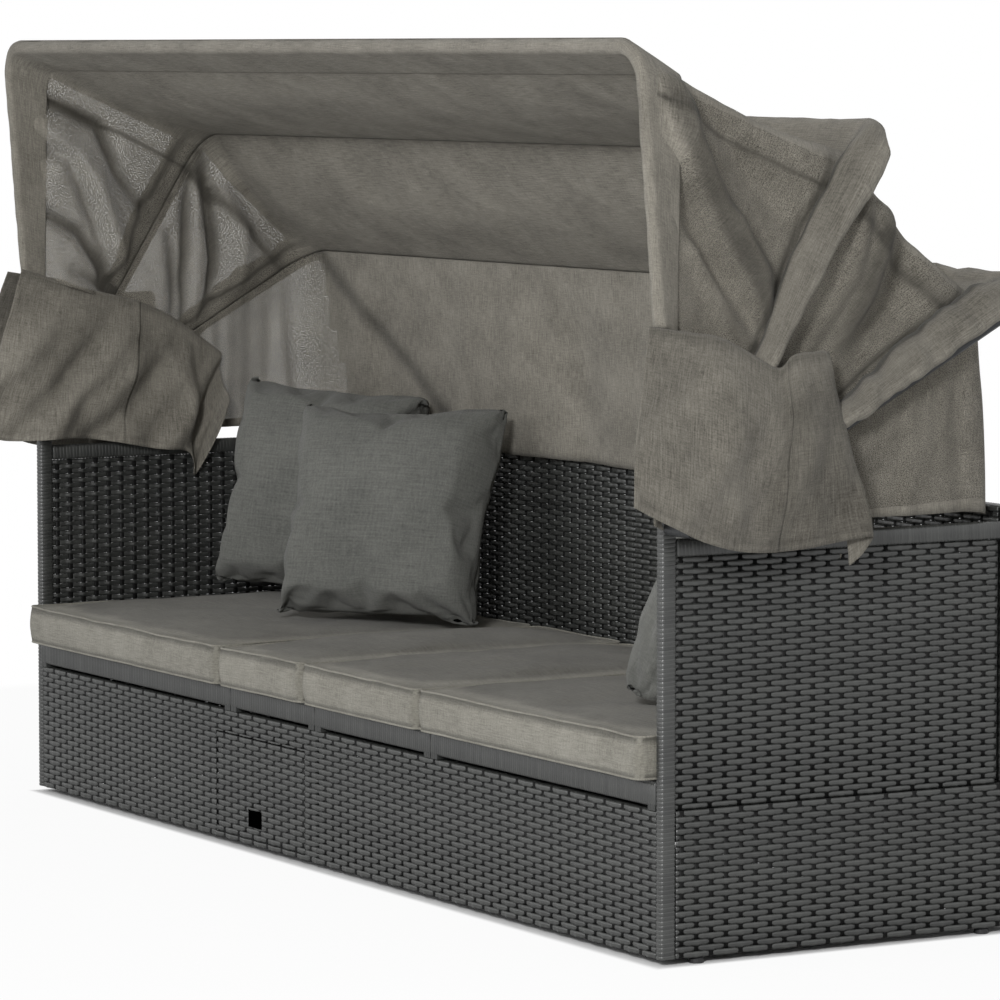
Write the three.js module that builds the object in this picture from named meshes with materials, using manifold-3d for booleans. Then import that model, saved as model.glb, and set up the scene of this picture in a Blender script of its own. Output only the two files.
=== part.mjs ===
import * as THREE from 'three';
import { mergeVertices } from 'three/addons/utils/BufferGeometryUtils.js';
import Module from 'manifold-3d';

// Outdoor daybed with a folding canopy. Millimetres, +Z up, +X along the seat to the right of
// someone who looks at its front, +Y towards the back.

const wasm = await Module();
wasm.setup();

// Overall sizes of the woven body, with the front face at y = 0 and the floor at z = 0
const bodyLength = 2170;
const bodyDepth = 660;
const baseTop = 232;
const armRailTop = 638;
const backRailRise = 22;
const armPostCap = 18;

// Frame and weave
const weaveThickness = 12;
const tubeDepth = 27;
const tubeWidth = 18;
const railHeight = 27;
const baseRailWidth = 25;
const baseRailHeight = 25;
const seatGap = 0.3;
const armPanelRecess = 4;
const backInset = 44;
const armSlot = 22;
const panelReveal = 11;

// Glides under the base
const glideHeight = 10;
const glideRadius = 11;
const glideNeckRadius = 8;
const glideNeckHeight = 3;
const glideFrontInset = 70;
const glideSides = 20;

// Seat decks
const deckHeight = 33;
const deckShadowGap = 11;
const deckSplitShares = [0, 0.355, 0.498, 0.682, 1];
const deckJointGap = 3;
const deckTubeWidth = 25;
const slatWidth = 30;
const slatHeight = 15;
const slatPitch = 125;
const bumperWidth = 20;

// Seat cushions
const cushionThickness = 68;
const cushionOverhang = 30;
const cushionCrown = 16;
const cushionCornerRadius = 28;
const cushionBulge = 5;
const cushionPinch = 4;
const cushionJointGap = 4;
const cushionBackGap = 8;

// Pillows
const pillowSize = 405;
const pillowThickness = 130;
const pillowEdge = 8;
const pillowDrawIn = 14;
const pillowLeftInset = 305;
const pillowLeftSetback = 233;
const pillowMiddleInset = 682;
const pillowMiddleSetback = 296;
const pillowRightInset = 267;
const pillowRightSetback = 351;

// Storage flap and bin
const flapWidth = 319;
const flapHeight = 171;
const flapThickness = 9;
const flapGap = 2;
const flapBottom = 20;
const flapInset = 44.5;
const slotWidth = 50;
const slotHeight = 30;
const slotBottom = 40;
const slotOffset = 20;
const hingeDrop = 6;
const pinRadius = 2;
const pinClearance = 0.35;
const pinGrip = 8;
const pinSides = 12;
const binWall = 3;
const binDepth = 340;
const binMargin = 6;

// Canopy hoops, all on one axis through the tops of the front arm posts
const pivotRise = 17;
const hoopTubeRadius = 9.5;
const hoopSides = 10;
const hoopCornerRadius = 55;
const bushLength = 21.7;
const bushRadius = 11;
const boltRadius = 4;
const boltClearance = 0.3;
const boltHeadRadius = 8;
const boltHeadHeight = 5;
const boltSides = 16;
const hoopReaches = [711, 690, 688];
const hoopAngles = [94.6, 58.4, 28.3];
const sleeveStarts = [302, 295, 395];

// Canopy fabric
const fabricThickness = 2.5;
const fabricOffset = 12.5;
const sideGap = 0.4;
const sheetInset = 8;
const finHeights = [0, 45, 33];
const finGaps = [0, 1.2, 0.6];
const seamAngles = [94.6, 58.4, 30.2];
const cornerEase = 2;
const panelGap = 2.4;
const roofSag = 26;
const foldDepth = 11;
const roofFolds = 5;
const sideFolds = 3;
const frontLapAngle = 1.4;
const sideHemRise = 17;
const backHemRise = 8;
const hemCornerRadius = 60;
const backHemClearance = 12;
const skirtFlareWidth = 82;
const skirtPleatDepth = 18;
const skirtPleats = 3;
const skirtFrontHemRise = 61;
const skirtNearHemDrop = 12;
const skirtFarHemDrop = 41;
const skirtEndHemRise = 2;
const skirtFrontHemReach = 112;
const skirtNearHemSetback = 77;
const skirtFarHemSetback = 290;
const skirtEndHemSetback = 348;
const skirtHemShares = [0, 0.4, 0.85, 1];
const skirtSeamShares = [0, 0.5, 1];

const halfLength = bodyLength / 2;
const pivotY = tubeDepth / 2;
const backRailTop = armRailTop + backRailRise;
const pivotHeight = armRailTop + pivotRise;
const armPostTop = pivotHeight + armPostCap;
const backFace = bodyDepth - backInset;
const deckBottom = baseTop + deckShadowGap;
const deckTop = deckBottom + deckHeight;
const innerHalf = halfLength - tubeWidth;
const bushPitch = bushLength + seatGap;
const hoopHalves = [0, 1, 2].map((place) => halfLength + seatGap + bushLength / 2 + place * bushPitch);

const daybed = new THREE.Group();
const body = new THREE.Group();
daybed.add(body);

// Looks of the materials
const looks = {
  weave: { color: 0x3a3d3d, roughness: 0.55, metalness: 0 },
  wrap: { color: 0x35383a, roughness: 0.5, metalness: 0 },
  steel: { color: 0x2b2d2f, roughness: 0.45, metalness: 0.6 },
  canopy: { color: 0x837e72, roughness: 0.95, metalness: 0 },
  cushion: { color: 0x8a867b, roughness: 0.95, metalness: 0 },
  pillow: { color: 0x5a5f60, roughness: 0.95, metalness: 0 },
  glide: { color: 0x161718, roughness: 0.6, metalness: 0 },
};

function addPiece(name, geometry, look, parent = body) {
  const mesh = new THREE.Mesh(geometry, new THREE.MeshStandardMaterial(looks[look]));
  mesh.name = name;
  parent.add(mesh);
  return mesh;
}

// Booleans
function toSolid(geometry) {
  const bare = geometry.clone();
  bare.deleteAttribute('normal');
  bare.deleteAttribute('uv');
  const merged = mergeVertices(bare);
  return new wasm.Manifold(new wasm.Mesh({
    numProp: 3,
    vertProperties: new Float32Array(merged.attributes.position.array),
    triVerts: new Uint32Array(merged.index.array),
  }));
}

function toGeometry(solid) {
  const mesh = solid.getMesh();
  const geometry = new THREE.BufferGeometry();
  geometry.setAttribute('position', new THREE.BufferAttribute(mesh.vertProperties, 3));
  geometry.setIndex(new THREE.BufferAttribute(mesh.triVerts, 1));
  geometry.computeVertexNormals();
  return geometry;
}

function joined(geometries) {
  return toGeometry(geometries.map(toSolid).reduce((sum, next) => sum.add(next)));
}

function cutBy(geometry, tools) {
  return toGeometry(tools.map(toSolid).reduce((rest, tool) => rest.subtract(tool), toSolid(geometry)));
}

// A box between two corners
function block(x0, x1, y0, y1, z0, z1) {
  const geometry = new THREE.BoxGeometry(x1 - x0, y1 - y0, z1 - z0);
  geometry.translate((x0 + x1) / 2, (y0 + y1) / 2, (z0 + z1) / 2);
  return geometry;
}

// A round bar along X between two ends
function barAlongX(radius, x0, x1, y, z, sides) {
  const geometry = new THREE.CylinderGeometry(radius, radius, x1 - x0, sides);
  geometry.rotateZ(Math.PI / 2);
  geometry.translate((x0 + x1) / 2, y, z);
  return geometry;
}

// A box whose fine surface is moved by a rule from shares (-1 to 1 on each axis) to a place
function formed(columns, rows, layers, place) {
  const source = new THREE.BoxGeometry(2, 2, 2, columns, rows, layers);
  source.deleteAttribute('normal');
  source.deleteAttribute('uv');
  const geometry = mergeVertices(source);
  const position = geometry.attributes.position;
  const point = new THREE.Vector3();
  for (let i = 0; i < position.count; i += 1) {
    point.fromBufferAttribute(position, i);
    place(point);
    position.setXYZ(i, point.x, point.y, point.z);
  }
  geometry.computeVertexNormals();
  return geometry;
}

// A profile in the plane across a run, extruded along X or along Y
function alongX(points, x0, x1) {
  const shape = new THREE.Shape(points.map(([y, z]) => new THREE.Vector2(y, z)));
  const geometry = new THREE.ExtrudeGeometry(shape, { depth: x1 - x0, bevelEnabled: false });
  geometry.applyMatrix4(new THREE.Matrix4().set(0, 0, 1, x0, 1, 0, 0, 0, 0, 1, 0, 0, 0, 0, 0, 1));
  return geometry;
}

function alongY(points, y0, y1) {
  const shape = new THREE.Shape(points.map(([x, z]) => new THREE.Vector2(-x, z)));
  const geometry = new THREE.ExtrudeGeometry(shape, { depth: y1 - y0, bevelEnabled: false });
  geometry.applyMatrix4(new THREE.Matrix4().set(-1, 0, 0, 0, 0, 0, 1, y0, 0, 1, 0, 0, 0, 0, 0, 1));
  return geometry;
}

// Base: two modules, each of four woven panels with the frame's rails behind the weave
function channelProfile(outer, inward) {
  const wall = outer + inward * weaveThickness;
  const rail = outer + inward * baseRailWidth;
  const railBottom = baseTop - baseRailHeight;
  const footTop = glideHeight + baseRailHeight;
  return [
    [outer, glideHeight],
    [rail, glideHeight],
    [rail, footTop],
    [wall, footTop],
    [wall, railBottom],
    [rail, railBottom],
    [rail, baseTop],
    [outer, baseTop],
  ];
}

function sheetProfile(outer, inward) {
  const wall = outer + inward * weaveThickness;
  const rail = outer + inward * baseRailWidth;
  const railBottom = baseTop - baseRailHeight;
  return [
    [outer, glideHeight],
    [wall, glideHeight],
    [wall, railBottom],
    [rail, railBottom],
    [rail, baseTop],
    [outer, baseTop],
  ];
}

const flapX1 = -flapInset;
const flapX0 = flapX1 - flapWidth;
const flapTop = flapBottom + flapHeight;
const hingeY = flapThickness / 2;
const hingeZ = flapTop - hingeDrop;
const slotX0 = (flapX0 + flapX1) / 2 - slotOffset - slotWidth / 2;
const pinEnds = [
  [flapX0 - flapGap - pinGrip, flapX0 + pinGrip],
  [flapX1 - pinGrip, flapX1 + flapGap + pinGrip],
];

function pinHoles() {
  return pinEnds.map(([x0, x1]) => barAlongX(
    pinRadius + pinClearance, x0 - pinClearance, x1 + pinClearance, hingeY, hingeZ, pinSides,
  ));
}

function addBaseModule(side, label) {
  const centreX = side * seatGap / 2;
  const frontOuter = side * (innerHalf - seatGap);
  const [front0, front1] = [Math.min(centreX, frontOuter), Math.max(centreX, frontOuter)];
  let front = alongX(sheetProfile(0, 1), front0, front1);
  if (side < 0) {
    const opening = block(
      flapX0 - flapGap, flapX1 + flapGap, -weaveThickness, baseRailWidth + weaveThickness,
      flapBottom - flapGap, flapTop + flapGap + seatGap,
    );
    front = cutBy(front, [opening, ...pinHoles()]);
  }
  addPiece(`base_front_panel_${label}`, front, 'weave');

  const backOuter = side * halfLength;
  const [back0, back1] = [Math.min(centreX, backOuter), Math.max(centreX, backOuter)];
  addPiece(`base_back_panel_${label}`, alongX(channelProfile(bodyDepth, -1), back0, back1), 'weave');

  const sideFront = tubeDepth + seatGap;
  const sideBack = bodyDepth - baseRailWidth - seatGap;
  const sidePanel = alongY(channelProfile(side * halfLength, -side), sideFront, sideBack);
  addPiece(`base_side_panel_${label}`, sidePanel, 'weave');

  const innerFront = baseRailWidth + seatGap;
  addPiece(`base_inner_panel_${label}`, alongY(channelProfile(centreX, side), innerFront, sideBack), 'weave');
}
addBaseModule(-1, 'left');
addBaseModule(1, 'right');

// Glides: a short neck flaring to a round foot, under the side and inner panels
function glide() {
  const profile = [
    new THREE.Vector2(0, 0),
    new THREE.Vector2(glideRadius, 0),
    new THREE.Vector2(glideRadius, glideHeight - glideNeckHeight - seatGap),
    new THREE.Vector2(glideNeckRadius, glideHeight - seatGap),
    new THREE.Vector2(0, glideHeight - seatGap),
  ];
  const geometry = new THREE.LatheGeometry(profile, glideSides);
  geometry.rotateX(Math.PI / 2);
  return geometry;
}

const glideInset = baseRailWidth / 2;
[
  ['left_outer', -halfLength + glideInset],
  ['left_inner', -glideInset],
  ['right_inner', glideInset],
  ['right_outer', halfLength - glideInset],
].forEach(([label, x]) => {
  [['front', glideFrontInset], ['rear', bodyDepth - glideFrontInset]].forEach(([end, y]) => {
    addPiece(`glide_${label}_${end}`, glide(), 'glide').position.set(x, y, 0);
  });
});

// Storage flap, its two hinge pins and the bin behind it
function storageFlap() {
  const plate = block(flapX0, flapX1, 0, flapThickness, flapBottom, flapTop);
  const slot = block(
    slotX0, slotX0 + slotWidth, -flapThickness, 2 * flapThickness, slotBottom, slotBottom + slotHeight,
  );
  return cutBy(plate, [slot, ...pinHoles()]);
}
addPiece('storage_flap', storageFlap(), 'weave');
pinEnds.forEach(([x0, x1], i) => {
  const pin = barAlongX(pinRadius, x0, x1, hingeY, hingeZ, pinSides);
  addPiece(`flap_hinge_pin_${['left', 'right'][i]}`, pin, 'steel');
});

const binFront = weaveThickness + seatGap;
const binBack = binFront + binDepth;
const binX0 = flapX0 - flapGap - binMargin;
const binX1 = flapX1 + flapGap + binMargin;
const binBottom = glideHeight + seatGap;
const binTop = baseTop - baseRailHeight - seatGap;
const binOuter = block(binX0, binX1, binFront, binBack, binBottom, binTop);
const binInner = block(
  binX0 + binWall, binX1 - binWall, 0, binBack - binWall, binBottom + binWall, binTop - binWall,
);
addPiece('storage_bin', cutBy(binOuter, [binInner]), 'glide');

// Seat decks: wrapped ring of tube, slats across it and bumpers that stand on the base rails
const deckEdges = deckSplitShares.map((share) => -innerHalf + share * 2 * innerHalf);
const deckBack = backFace - seatGap;

function seatDeck(x0, x1) {
  const ring = new THREE.Shape([
    new THREE.Vector2(x0, 0),
    new THREE.Vector2(x1, 0),
    new THREE.Vector2(x1, deckBack),
    new THREE.Vector2(x0, deckBack),
  ]);
  ring.holes.push(new THREE.Path([
    new THREE.Vector2(x0 + deckTubeWidth, deckTubeWidth),
    new THREE.Vector2(x0 + deckTubeWidth, deckBack - deckTubeWidth),
    new THREE.Vector2(x1 - deckTubeWidth, deckBack - deckTubeWidth),
    new THREE.Vector2(x1 - deckTubeWidth, deckTubeWidth),
  ]));
  const frame = new THREE.ExtrudeGeometry(ring, { depth: deckHeight, bevelEnabled: false });
  frame.translate(0, 0, deckBottom);
  const slatCount = Math.max(1, Math.round((x1 - x0) / slatPitch) - 1);
  const slats = Array.from({ length: slatCount }, (_, i) => {
    const x = x0 + (i + 1) / (slatCount + 1) * (x1 - x0);
    return block(
      x - slatWidth / 2, x + slatWidth / 2, deckTubeWidth / 2, deckBack - deckTubeWidth / 2,
      deckTop - slatHeight, deckTop,
    );
  });
  const bumpers = [x0, x1 - bumperWidth].map((x) => block(
    x, x + bumperWidth, 0, bumperWidth, baseTop + seatGap, deckBottom + deckHeight / 2,
  ));
  return joined([frame, ...slats, ...bumpers]);
}

deckEdges.slice(0, -1).forEach((edge, i) => {
  const x0 = edge + (i > 0 ? deckJointGap / 2 : seatGap);
  const x1 = deckEdges[i + 1] - (i + 2 < deckEdges.length ? deckJointGap / 2 : seatGap);
  addPiece(`seat_deck_${i + 1}`, seatDeck(x0, x1), 'wrap');
});

// Arms: a slim front post with the canopy bolt through its top, a rail, a woven panel that stops
// short of the rear post, and that post
const railBottom = armRailTop - railHeight;

function addArm(side, label) {
  const outer = side * halfLength;
  const inner = side * innerHalf;
  const [x0, x1] = [Math.min(outer, inner), Math.max(outer, inner)];
  const post = block(x0, x1, 0, tubeDepth, glideHeight, armPostTop);
  const boltHole = barAlongX(
    boltRadius + boltClearance, x0 - tubeWidth, x1 + tubeWidth, pivotY, pivotHeight, boltSides,
  );
  addPiece(`arm_front_post_${label}`, cutBy(post, [boltHole]), 'wrap');
  addPiece(`arm_top_rail_${label}`, block(
    x0, x1, tubeDepth + seatGap, bodyDepth, railBottom, armRailTop,
  ), 'wrap');
  const rearPostFront = bodyDepth - tubeDepth;
  addPiece(`arm_rear_post_${label}`, block(
    x0, x1, rearPostFront, bodyDepth, baseTop + seatGap, railBottom - seatGap,
  ), 'wrap');
  const sheetOuter = side * (halfLength - armPanelRecess);
  const sheetInner = side * (halfLength - armPanelRecess - weaveThickness);
  addPiece(`arm_panel_${label}`, block(
    Math.min(sheetOuter, sheetInner), Math.max(sheetOuter, sheetInner),
    tubeDepth + seatGap, rearPostFront - armSlot, baseTop + seatGap, railBottom - seatGap,
  ), 'weave');
}
addArm(-1, 'left');
addArm(1, 'right');

// Back: woven panels in front of stiles and a top rail, met at the middle
const stileFront = backFace + weaveThickness + seatGap;
const stileBack = stileFront + tubeDepth;
const backRailBottom = backRailTop - railHeight;

function addBack(side, label) {
  const spans = (near, far) => [Math.min(side * near, side * far), Math.max(side * near, side * far)];
  const [panel0, panel1] = spans(seatGap / 2, innerHalf - seatGap);
  addPiece(`back_panel_${label}`, block(
    panel0, panel1, backFace, backFace + weaveThickness, baseTop + panelReveal, backRailTop,
  ), 'weave');
  addPiece(`back_top_rail_${label}`, block(
    panel0, panel1, stileFront, stileBack, backRailBottom, backRailTop,
  ), 'wrap');
  const [centre0, centre1] = spans(seatGap / 2, tubeDepth);
  addPiece(`back_centre_stile_${label}`, block(
    centre0, centre1, stileFront, stileBack, baseTop + seatGap, backRailBottom - seatGap,
  ), 'wrap');
  const [end0, end1] = spans(innerHalf - seatGap, innerHalf - tubeDepth);
  addPiece(`back_outer_stile_${label}`, block(
    end0, end1, stileFront, stileBack, baseTop + seatGap, backRailBottom - seatGap,
  ), 'wrap');
}
addBack(-1, 'left');
addBack(1, 'right');

// Seat cushions: crowned top, drawn-in sides below and above a fuller middle, rounded corners
const cushionBottom = deckTop + seatGap;
const cushionFront = -cushionOverhang;
const cushionRear = backFace - cushionBackGap;

// How much of the crown there is at a share of the half width or depth
function crownShare(share) {
  return 1 - Math.pow(Math.min(Math.abs(share), 1), 4);
}

function seatCushion(x0, x1) {
  const halfX = (x1 - x0) / 2;
  const halfY = (cushionRear - cushionFront) / 2;
  return formed(12, 12, 3, (point) => {
    const { x: u, y: v, z: w } = point;
    const [flatX, flatY] = [halfX - cushionCornerRadius, halfY - cushionCornerRadius];
    const ring = Math.max(Math.abs(u), Math.abs(v));
    const swell = cushionBulge * (1 - w * w);
    const corner = new THREE.Vector2(Math.abs(u) * halfX - flatX, Math.abs(v) * halfY - flatY);
    let [px, py] = [Math.abs(u) * halfX, Math.abs(v) * halfY];
    if (corner.x > 0 && corner.y > 0) {
      const reach = Math.max(corner.x, corner.y);
      corner.setLength(reach);
      [px, py] = [flatX + corner.x, flatY + corner.y];
    }
    const shrink = cushionPinch * Math.pow(Math.abs(w), 3) * Math.pow(ring, 6);
    px = px * (1 + (swell * ring - cushionBulge * ring - shrink) / halfX);
    py = py * (1 + (swell * ring - cushionBulge * ring - shrink) / halfY);
    const crown = w > 0 ? cushionCrown * crownShare(u) * crownShare(v) : 0;
    point.set(
      (x0 + x1) / 2 + Math.sign(u) * px,
      (cushionFront + cushionRear) / 2 + Math.sign(v) * py,
      cushionBottom + (w + 1) / 2 * (cushionThickness + crown),
    );
  });
}

deckEdges.slice(0, -1).forEach((edge, i) => {
  const x0 = edge + cushionJointGap / 2;
  const x1 = deckEdges[i + 1] - cushionJointGap / 2;
  addPiece(`seat_cushion_${i + 1}`, seatCushion(x0, x1), 'cushion');
});

// Pillows: knife-edged squares with full middles, leaning in the corners of the seat
function pillow() {
  return formed(12, 12, 2, (point) => {
    const { x: u, y: v, z: w } = point;
    const [su, sv] = [Math.sin(u * Math.PI / 2), Math.sin(v * Math.PI / 2)];
    const fullness = Math.pow((1 - su * su) * (1 - sv * sv), 0.42);
    const half = pillowSize / 2;
    const drawX = pillowDrawIn * (1 - sv * sv) * Math.abs(su);
    const drawY = pillowDrawIn * (1 - su * su) * Math.abs(sv);
    point.set(
      su * half - Math.sign(su) * drawX,
      w * (pillowEdge / 2 + (pillowThickness - pillowEdge) / 2 * fullness),
      sv * half - Math.sign(sv) * drawY,
    );
  });
}

const pillowPlaces = [
  {
    name: 'pillow_left',
    x: pillowLeftInset - innerHalf,
    setback: pillowLeftSetback,
    yaw: 30,
    lean: 13,
    roll: -3.6,
  },
  {
    name: 'pillow_middle',
    x: pillowMiddleInset - innerHalf,
    setback: pillowMiddleSetback,
    yaw: 36,
    lean: 19.4,
    roll: 0,
  },
  {
    name: 'pillow_right',
    x: innerHalf - pillowRightInset,
    setback: pillowRightSetback,
    yaw: -75,
    lean: 24,
    roll: 2,
  },
];

// Height of the cushions' tops at a place on the seat
function seatTopAt(x, y) {
  const i = deckEdges.findIndex((edge, k) => x >= edge && x < deckEdges[k + 1]);
  const halfX = (deckEdges[i + 1] - deckEdges[i] - cushionJointGap) / 2;
  const halfY = (cushionRear - cushionFront) / 2;
  const u = (x - (deckEdges[i] + deckEdges[i + 1]) / 2) / halfX;
  const v = (y - (cushionFront + cushionRear) / 2) / halfY;
  return cushionBottom + cushionThickness + cushionCrown * crownShare(u) * crownShare(v);
}

function mirroredFaces(geometry) {
  const index = geometry.index;
  for (let i = 0; i < index.count; i += 3) {
    const first = index.getX(i);
    index.setX(i, index.getX(i + 1));
    index.setX(i + 1, first);
  }
  geometry.computeVertexNormals();
  return geometry;
}

pillowPlaces.forEach(({ name, x, setback, yaw, lean, roll }) => {
  const mesh = addPiece(name, mirroredFaces(pillow()), 'pillow');
  const turn = new THREE.Euler(
    THREE.MathUtils.degToRad(-lean), THREE.MathUtils.degToRad(-roll), THREE.MathUtils.degToRad(yaw), 'ZXY',
  );
  mesh.rotation.copy(turn);
  const up = new THREE.Vector3(0, 0, pillowSize / 2).applyEuler(turn);
  mesh.position.set(x + up.x, backFace - setback + up.y, 0);
  mesh.updateMatrixWorld(true);
  const point = new THREE.Vector3();
  const position = mesh.geometry.attributes.position;
  let drop = Infinity;
  for (let i = 0; i < position.count; i += 1) {
    point.fromBufferAttribute(position, i).applyMatrix4(mesh.matrixWorld);
    drop = Math.min(drop, point.z - seatTopAt(point.x, point.y));
  }
  mesh.position.z = seatGap - drop;
});

// Canopy hoops: each a round tube bent to a wide U, its ends welded to bushes on the pivot bolts
function hoopPoint(reach, angle, x) {
  const turn = THREE.MathUtils.degToRad(angle);
  return new THREE.Vector3(x, pivotY + reach * Math.cos(turn), pivotHeight + reach * Math.sin(turn));
}

// Sweeps a round section along a chain of points that lie in one plane, mitred at each point
function planarTube(points, normal, radius, sides) {
  const positions = [];
  const rings = points.map((point, i) => {
    const before = points[Math.max(i - 1, 0)];
    const after = points[Math.min(i + 1, points.length - 1)];
    const incoming = new THREE.Vector3().subVectors(point, before).normalize();
    const outgoing = new THREE.Vector3().subVectors(after, point).normalize();
    const tangent = incoming.add(outgoing).normalize();
    const across = new THREE.Vector3().crossVectors(normal, tangent).normalize();
    return Array.from({ length: sides }, (_, k) => {
      const turn = 2 * Math.PI * k / sides;
      return point.clone()
        .addScaledVector(across, radius * Math.cos(turn))
        .addScaledVector(normal, radius * Math.sin(turn));
    });
  });
  rings.flat().forEach((p) => positions.push(p.x, p.y, p.z));
  const index = [];
  for (let i = 0; i + 1 < rings.length; i += 1) {
    for (let k = 0; k < sides; k += 1) {
      const a = i * sides + k;
      const b = i * sides + (k + 1) % sides;
      index.push(a, b, a + sides, b, b + sides, a + sides);
    }
  }
  const last = (rings.length - 1) * sides;
  for (let k = 1; k + 1 < sides; k += 1) {
    index.push(0, k + 1, k);
    index.push(last, last + k, last + k + 1);
  }
  const geometry = new THREE.BufferGeometry();
  geometry.setAttribute('position', new THREE.Float32BufferAttribute(positions, 3));
  geometry.setIndex(index);
  return geometry;
}

const cornerSteps = 6;

function hoopChain(reach, half, angle) {
  const start = bushRadius / 2 + boltRadius;
  const chain = [hoopPoint(start, angle, -half)];
  [[-1, 1], [1, -1]].forEach(([side, direction]) => {
    for (let i = 0; i <= cornerSteps; i += 1) {
      const share = direction > 0 ? i / cornerSteps : 1 - i / cornerSteps;
      const turn = share * Math.PI / 2;
      const along = reach - hoopCornerRadius * (1 - Math.sin(turn));
      const inward = hoopCornerRadius * (1 - Math.cos(turn));
      chain.push(hoopPoint(along, angle, side * (half - inward)));
    }
  });
  chain.push(hoopPoint(start, angle, half));
  return chain;
}

function canopyHoop(reach, half, angle) {
  const turn = THREE.MathUtils.degToRad(angle);
  const normal = new THREE.Vector3(0, -Math.sin(turn), Math.cos(turn));
  const tube = planarTube(hoopChain(reach, half, angle), normal, hoopTubeRadius, hoopSides);
  const bushes = [-half, half].map((x) => barAlongX(
    bushRadius, x - bushLength / 2, x + bushLength / 2, pivotY, pivotHeight, boltSides,
  ));
  const holes = [-half, half].map((x) => barAlongX(
    boltRadius + boltClearance, x - bushLength, x + bushLength, pivotY, pivotHeight, boltSides,
  ));
  return cutBy(joined([tube, ...bushes]), holes);
}

['front', 'middle', 'rear'].forEach((label, i) => {
  addPiece(`hoop_${label}`, canopyHoop(hoopReaches[i], hoopHalves[i], hoopAngles[i]), 'steel');
});

// Pivot bolts: head outside the bushes, shank through bushes and post, nut inside the arm
[[-1, 'left'], [1, 'right']].forEach(([side, label]) => {
  const stackEnd = hoopHalves[2] + bushLength / 2 + seatGap;
  const nutFace = innerHalf - seatGap;
  const profile = [
    [0, 0],
    [boltHeadRadius, 0],
    [boltHeadRadius, boltHeadHeight],
    [boltRadius, boltHeadHeight],
    [boltRadius, boltHeadHeight + stackEnd - nutFace],
    [boltHeadRadius, boltHeadHeight + stackEnd - nutFace],
    [boltHeadRadius, 2 * boltHeadHeight + stackEnd - nutFace],
    [0, 2 * boltHeadHeight + stackEnd - nutFace],
  ];
  const bolt = new THREE.LatheGeometry(profile.map(([r, h]) => new THREE.Vector2(r, h)), boltSides);
  bolt.rotateZ(-side * Math.PI / 2);
  bolt.translate(side * (nutFace - boltHeadHeight), pivotY, pivotHeight);
  addPiece(`pivot_bolt_${label}`, bolt, 'steel');
});

// Canopy fabric: a sheet over the front hoop that hangs inside the middle and rear hoops from fins
const sideSteps = 5;
const bendSteps = 4;
const roofSteps = 8;
const fabricColumns = 2 * (sideSteps + bendSteps) + roofSteps;

const sheetHalves = [0, 1, 2].map((i) => hoopHalves[0] + hoopTubeRadius + sideGap - (i > 0 ? sheetInset : 0));
const sheetReaches = hoopReaches.map((reach, i) => (i > 0 ? reach - finHeights[i] : reach + fabricOffset));

// Point on the sheet along hoop i, from the left side's lower end (share 0) to the right's (share 1)
function sleevePoint(i, share, angle = seamAngles[i]) {
  const half = sheetHalves[i];
  const reach = sheetReaches[i];
  const bendX = hoopCornerRadius + hoopTubeRadius + sideGap;
  const bendReach = hoopCornerRadius + fabricOffset;
  const step = share * fabricColumns;
  const side = step < fabricColumns / 2 ? -1 : 1;
  const fromEnd = Math.min(step, fabricColumns - step);
  if (fromEnd <= sideSteps) {
    const along = THREE.MathUtils.lerp(sleeveStarts[i], reach - bendReach, fromEnd / sideSteps);
    return hoopPoint(along, angle, side * half);
  }
  if (fromEnd <= sideSteps + bendSteps) {
    const turn = (fromEnd - sideSteps) / bendSteps * Math.PI / 2;
    const ease = 1 + cornerEase / bendX * Math.min(1, 4 * Math.sin(turn) * Math.cos(turn));
    const along = reach - bendReach + bendReach * ease * Math.sin(turn);
    return hoopPoint(along, angle, side * (half - bendX + bendX * ease * Math.cos(turn)));
  }
  const across = (fromEnd - sideSteps - bendSteps) / (roofSteps / 2);
  return hoopPoint(reach, angle, side * (half - bendX) * (1 - across));
}

// How far a column is on the roof (1) or on a side (0)
function roofShare(share) {
  const fromEnd = Math.min(share, 1 - share) * fabricColumns;
  return THREE.MathUtils.smoothstep(fromEnd, sideSteps, sideSteps + bendSteps);
}

// A sheet of fabric of even thickness on a surface given by two shares from 0 to 1
function fabricSheet(columns, rows, surface) {
  const reachShare = 0.002;
  return formed(columns, rows, 1, (point) => {
    const [u, v] = [(point.x + 1) / 2, (point.y + 1) / 2];
    const [u0, u1] = [Math.max(u - reachShare, 0), Math.min(u + reachShare, 1)];
    const [v0, v1] = [Math.max(v - reachShare, 0), Math.min(v + reachShare, 1)];
    const alongU = surface(u1, v).sub(surface(u0, v));
    const alongV = surface(u, v1).sub(surface(u, v0));
    const normal = alongU.cross(alongV).normalize();
    const lift = fabricThickness * (point.z + 1) / 2;
    point.copy(surface(u, v)).addScaledVector(normal, lift);
  });
}

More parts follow.
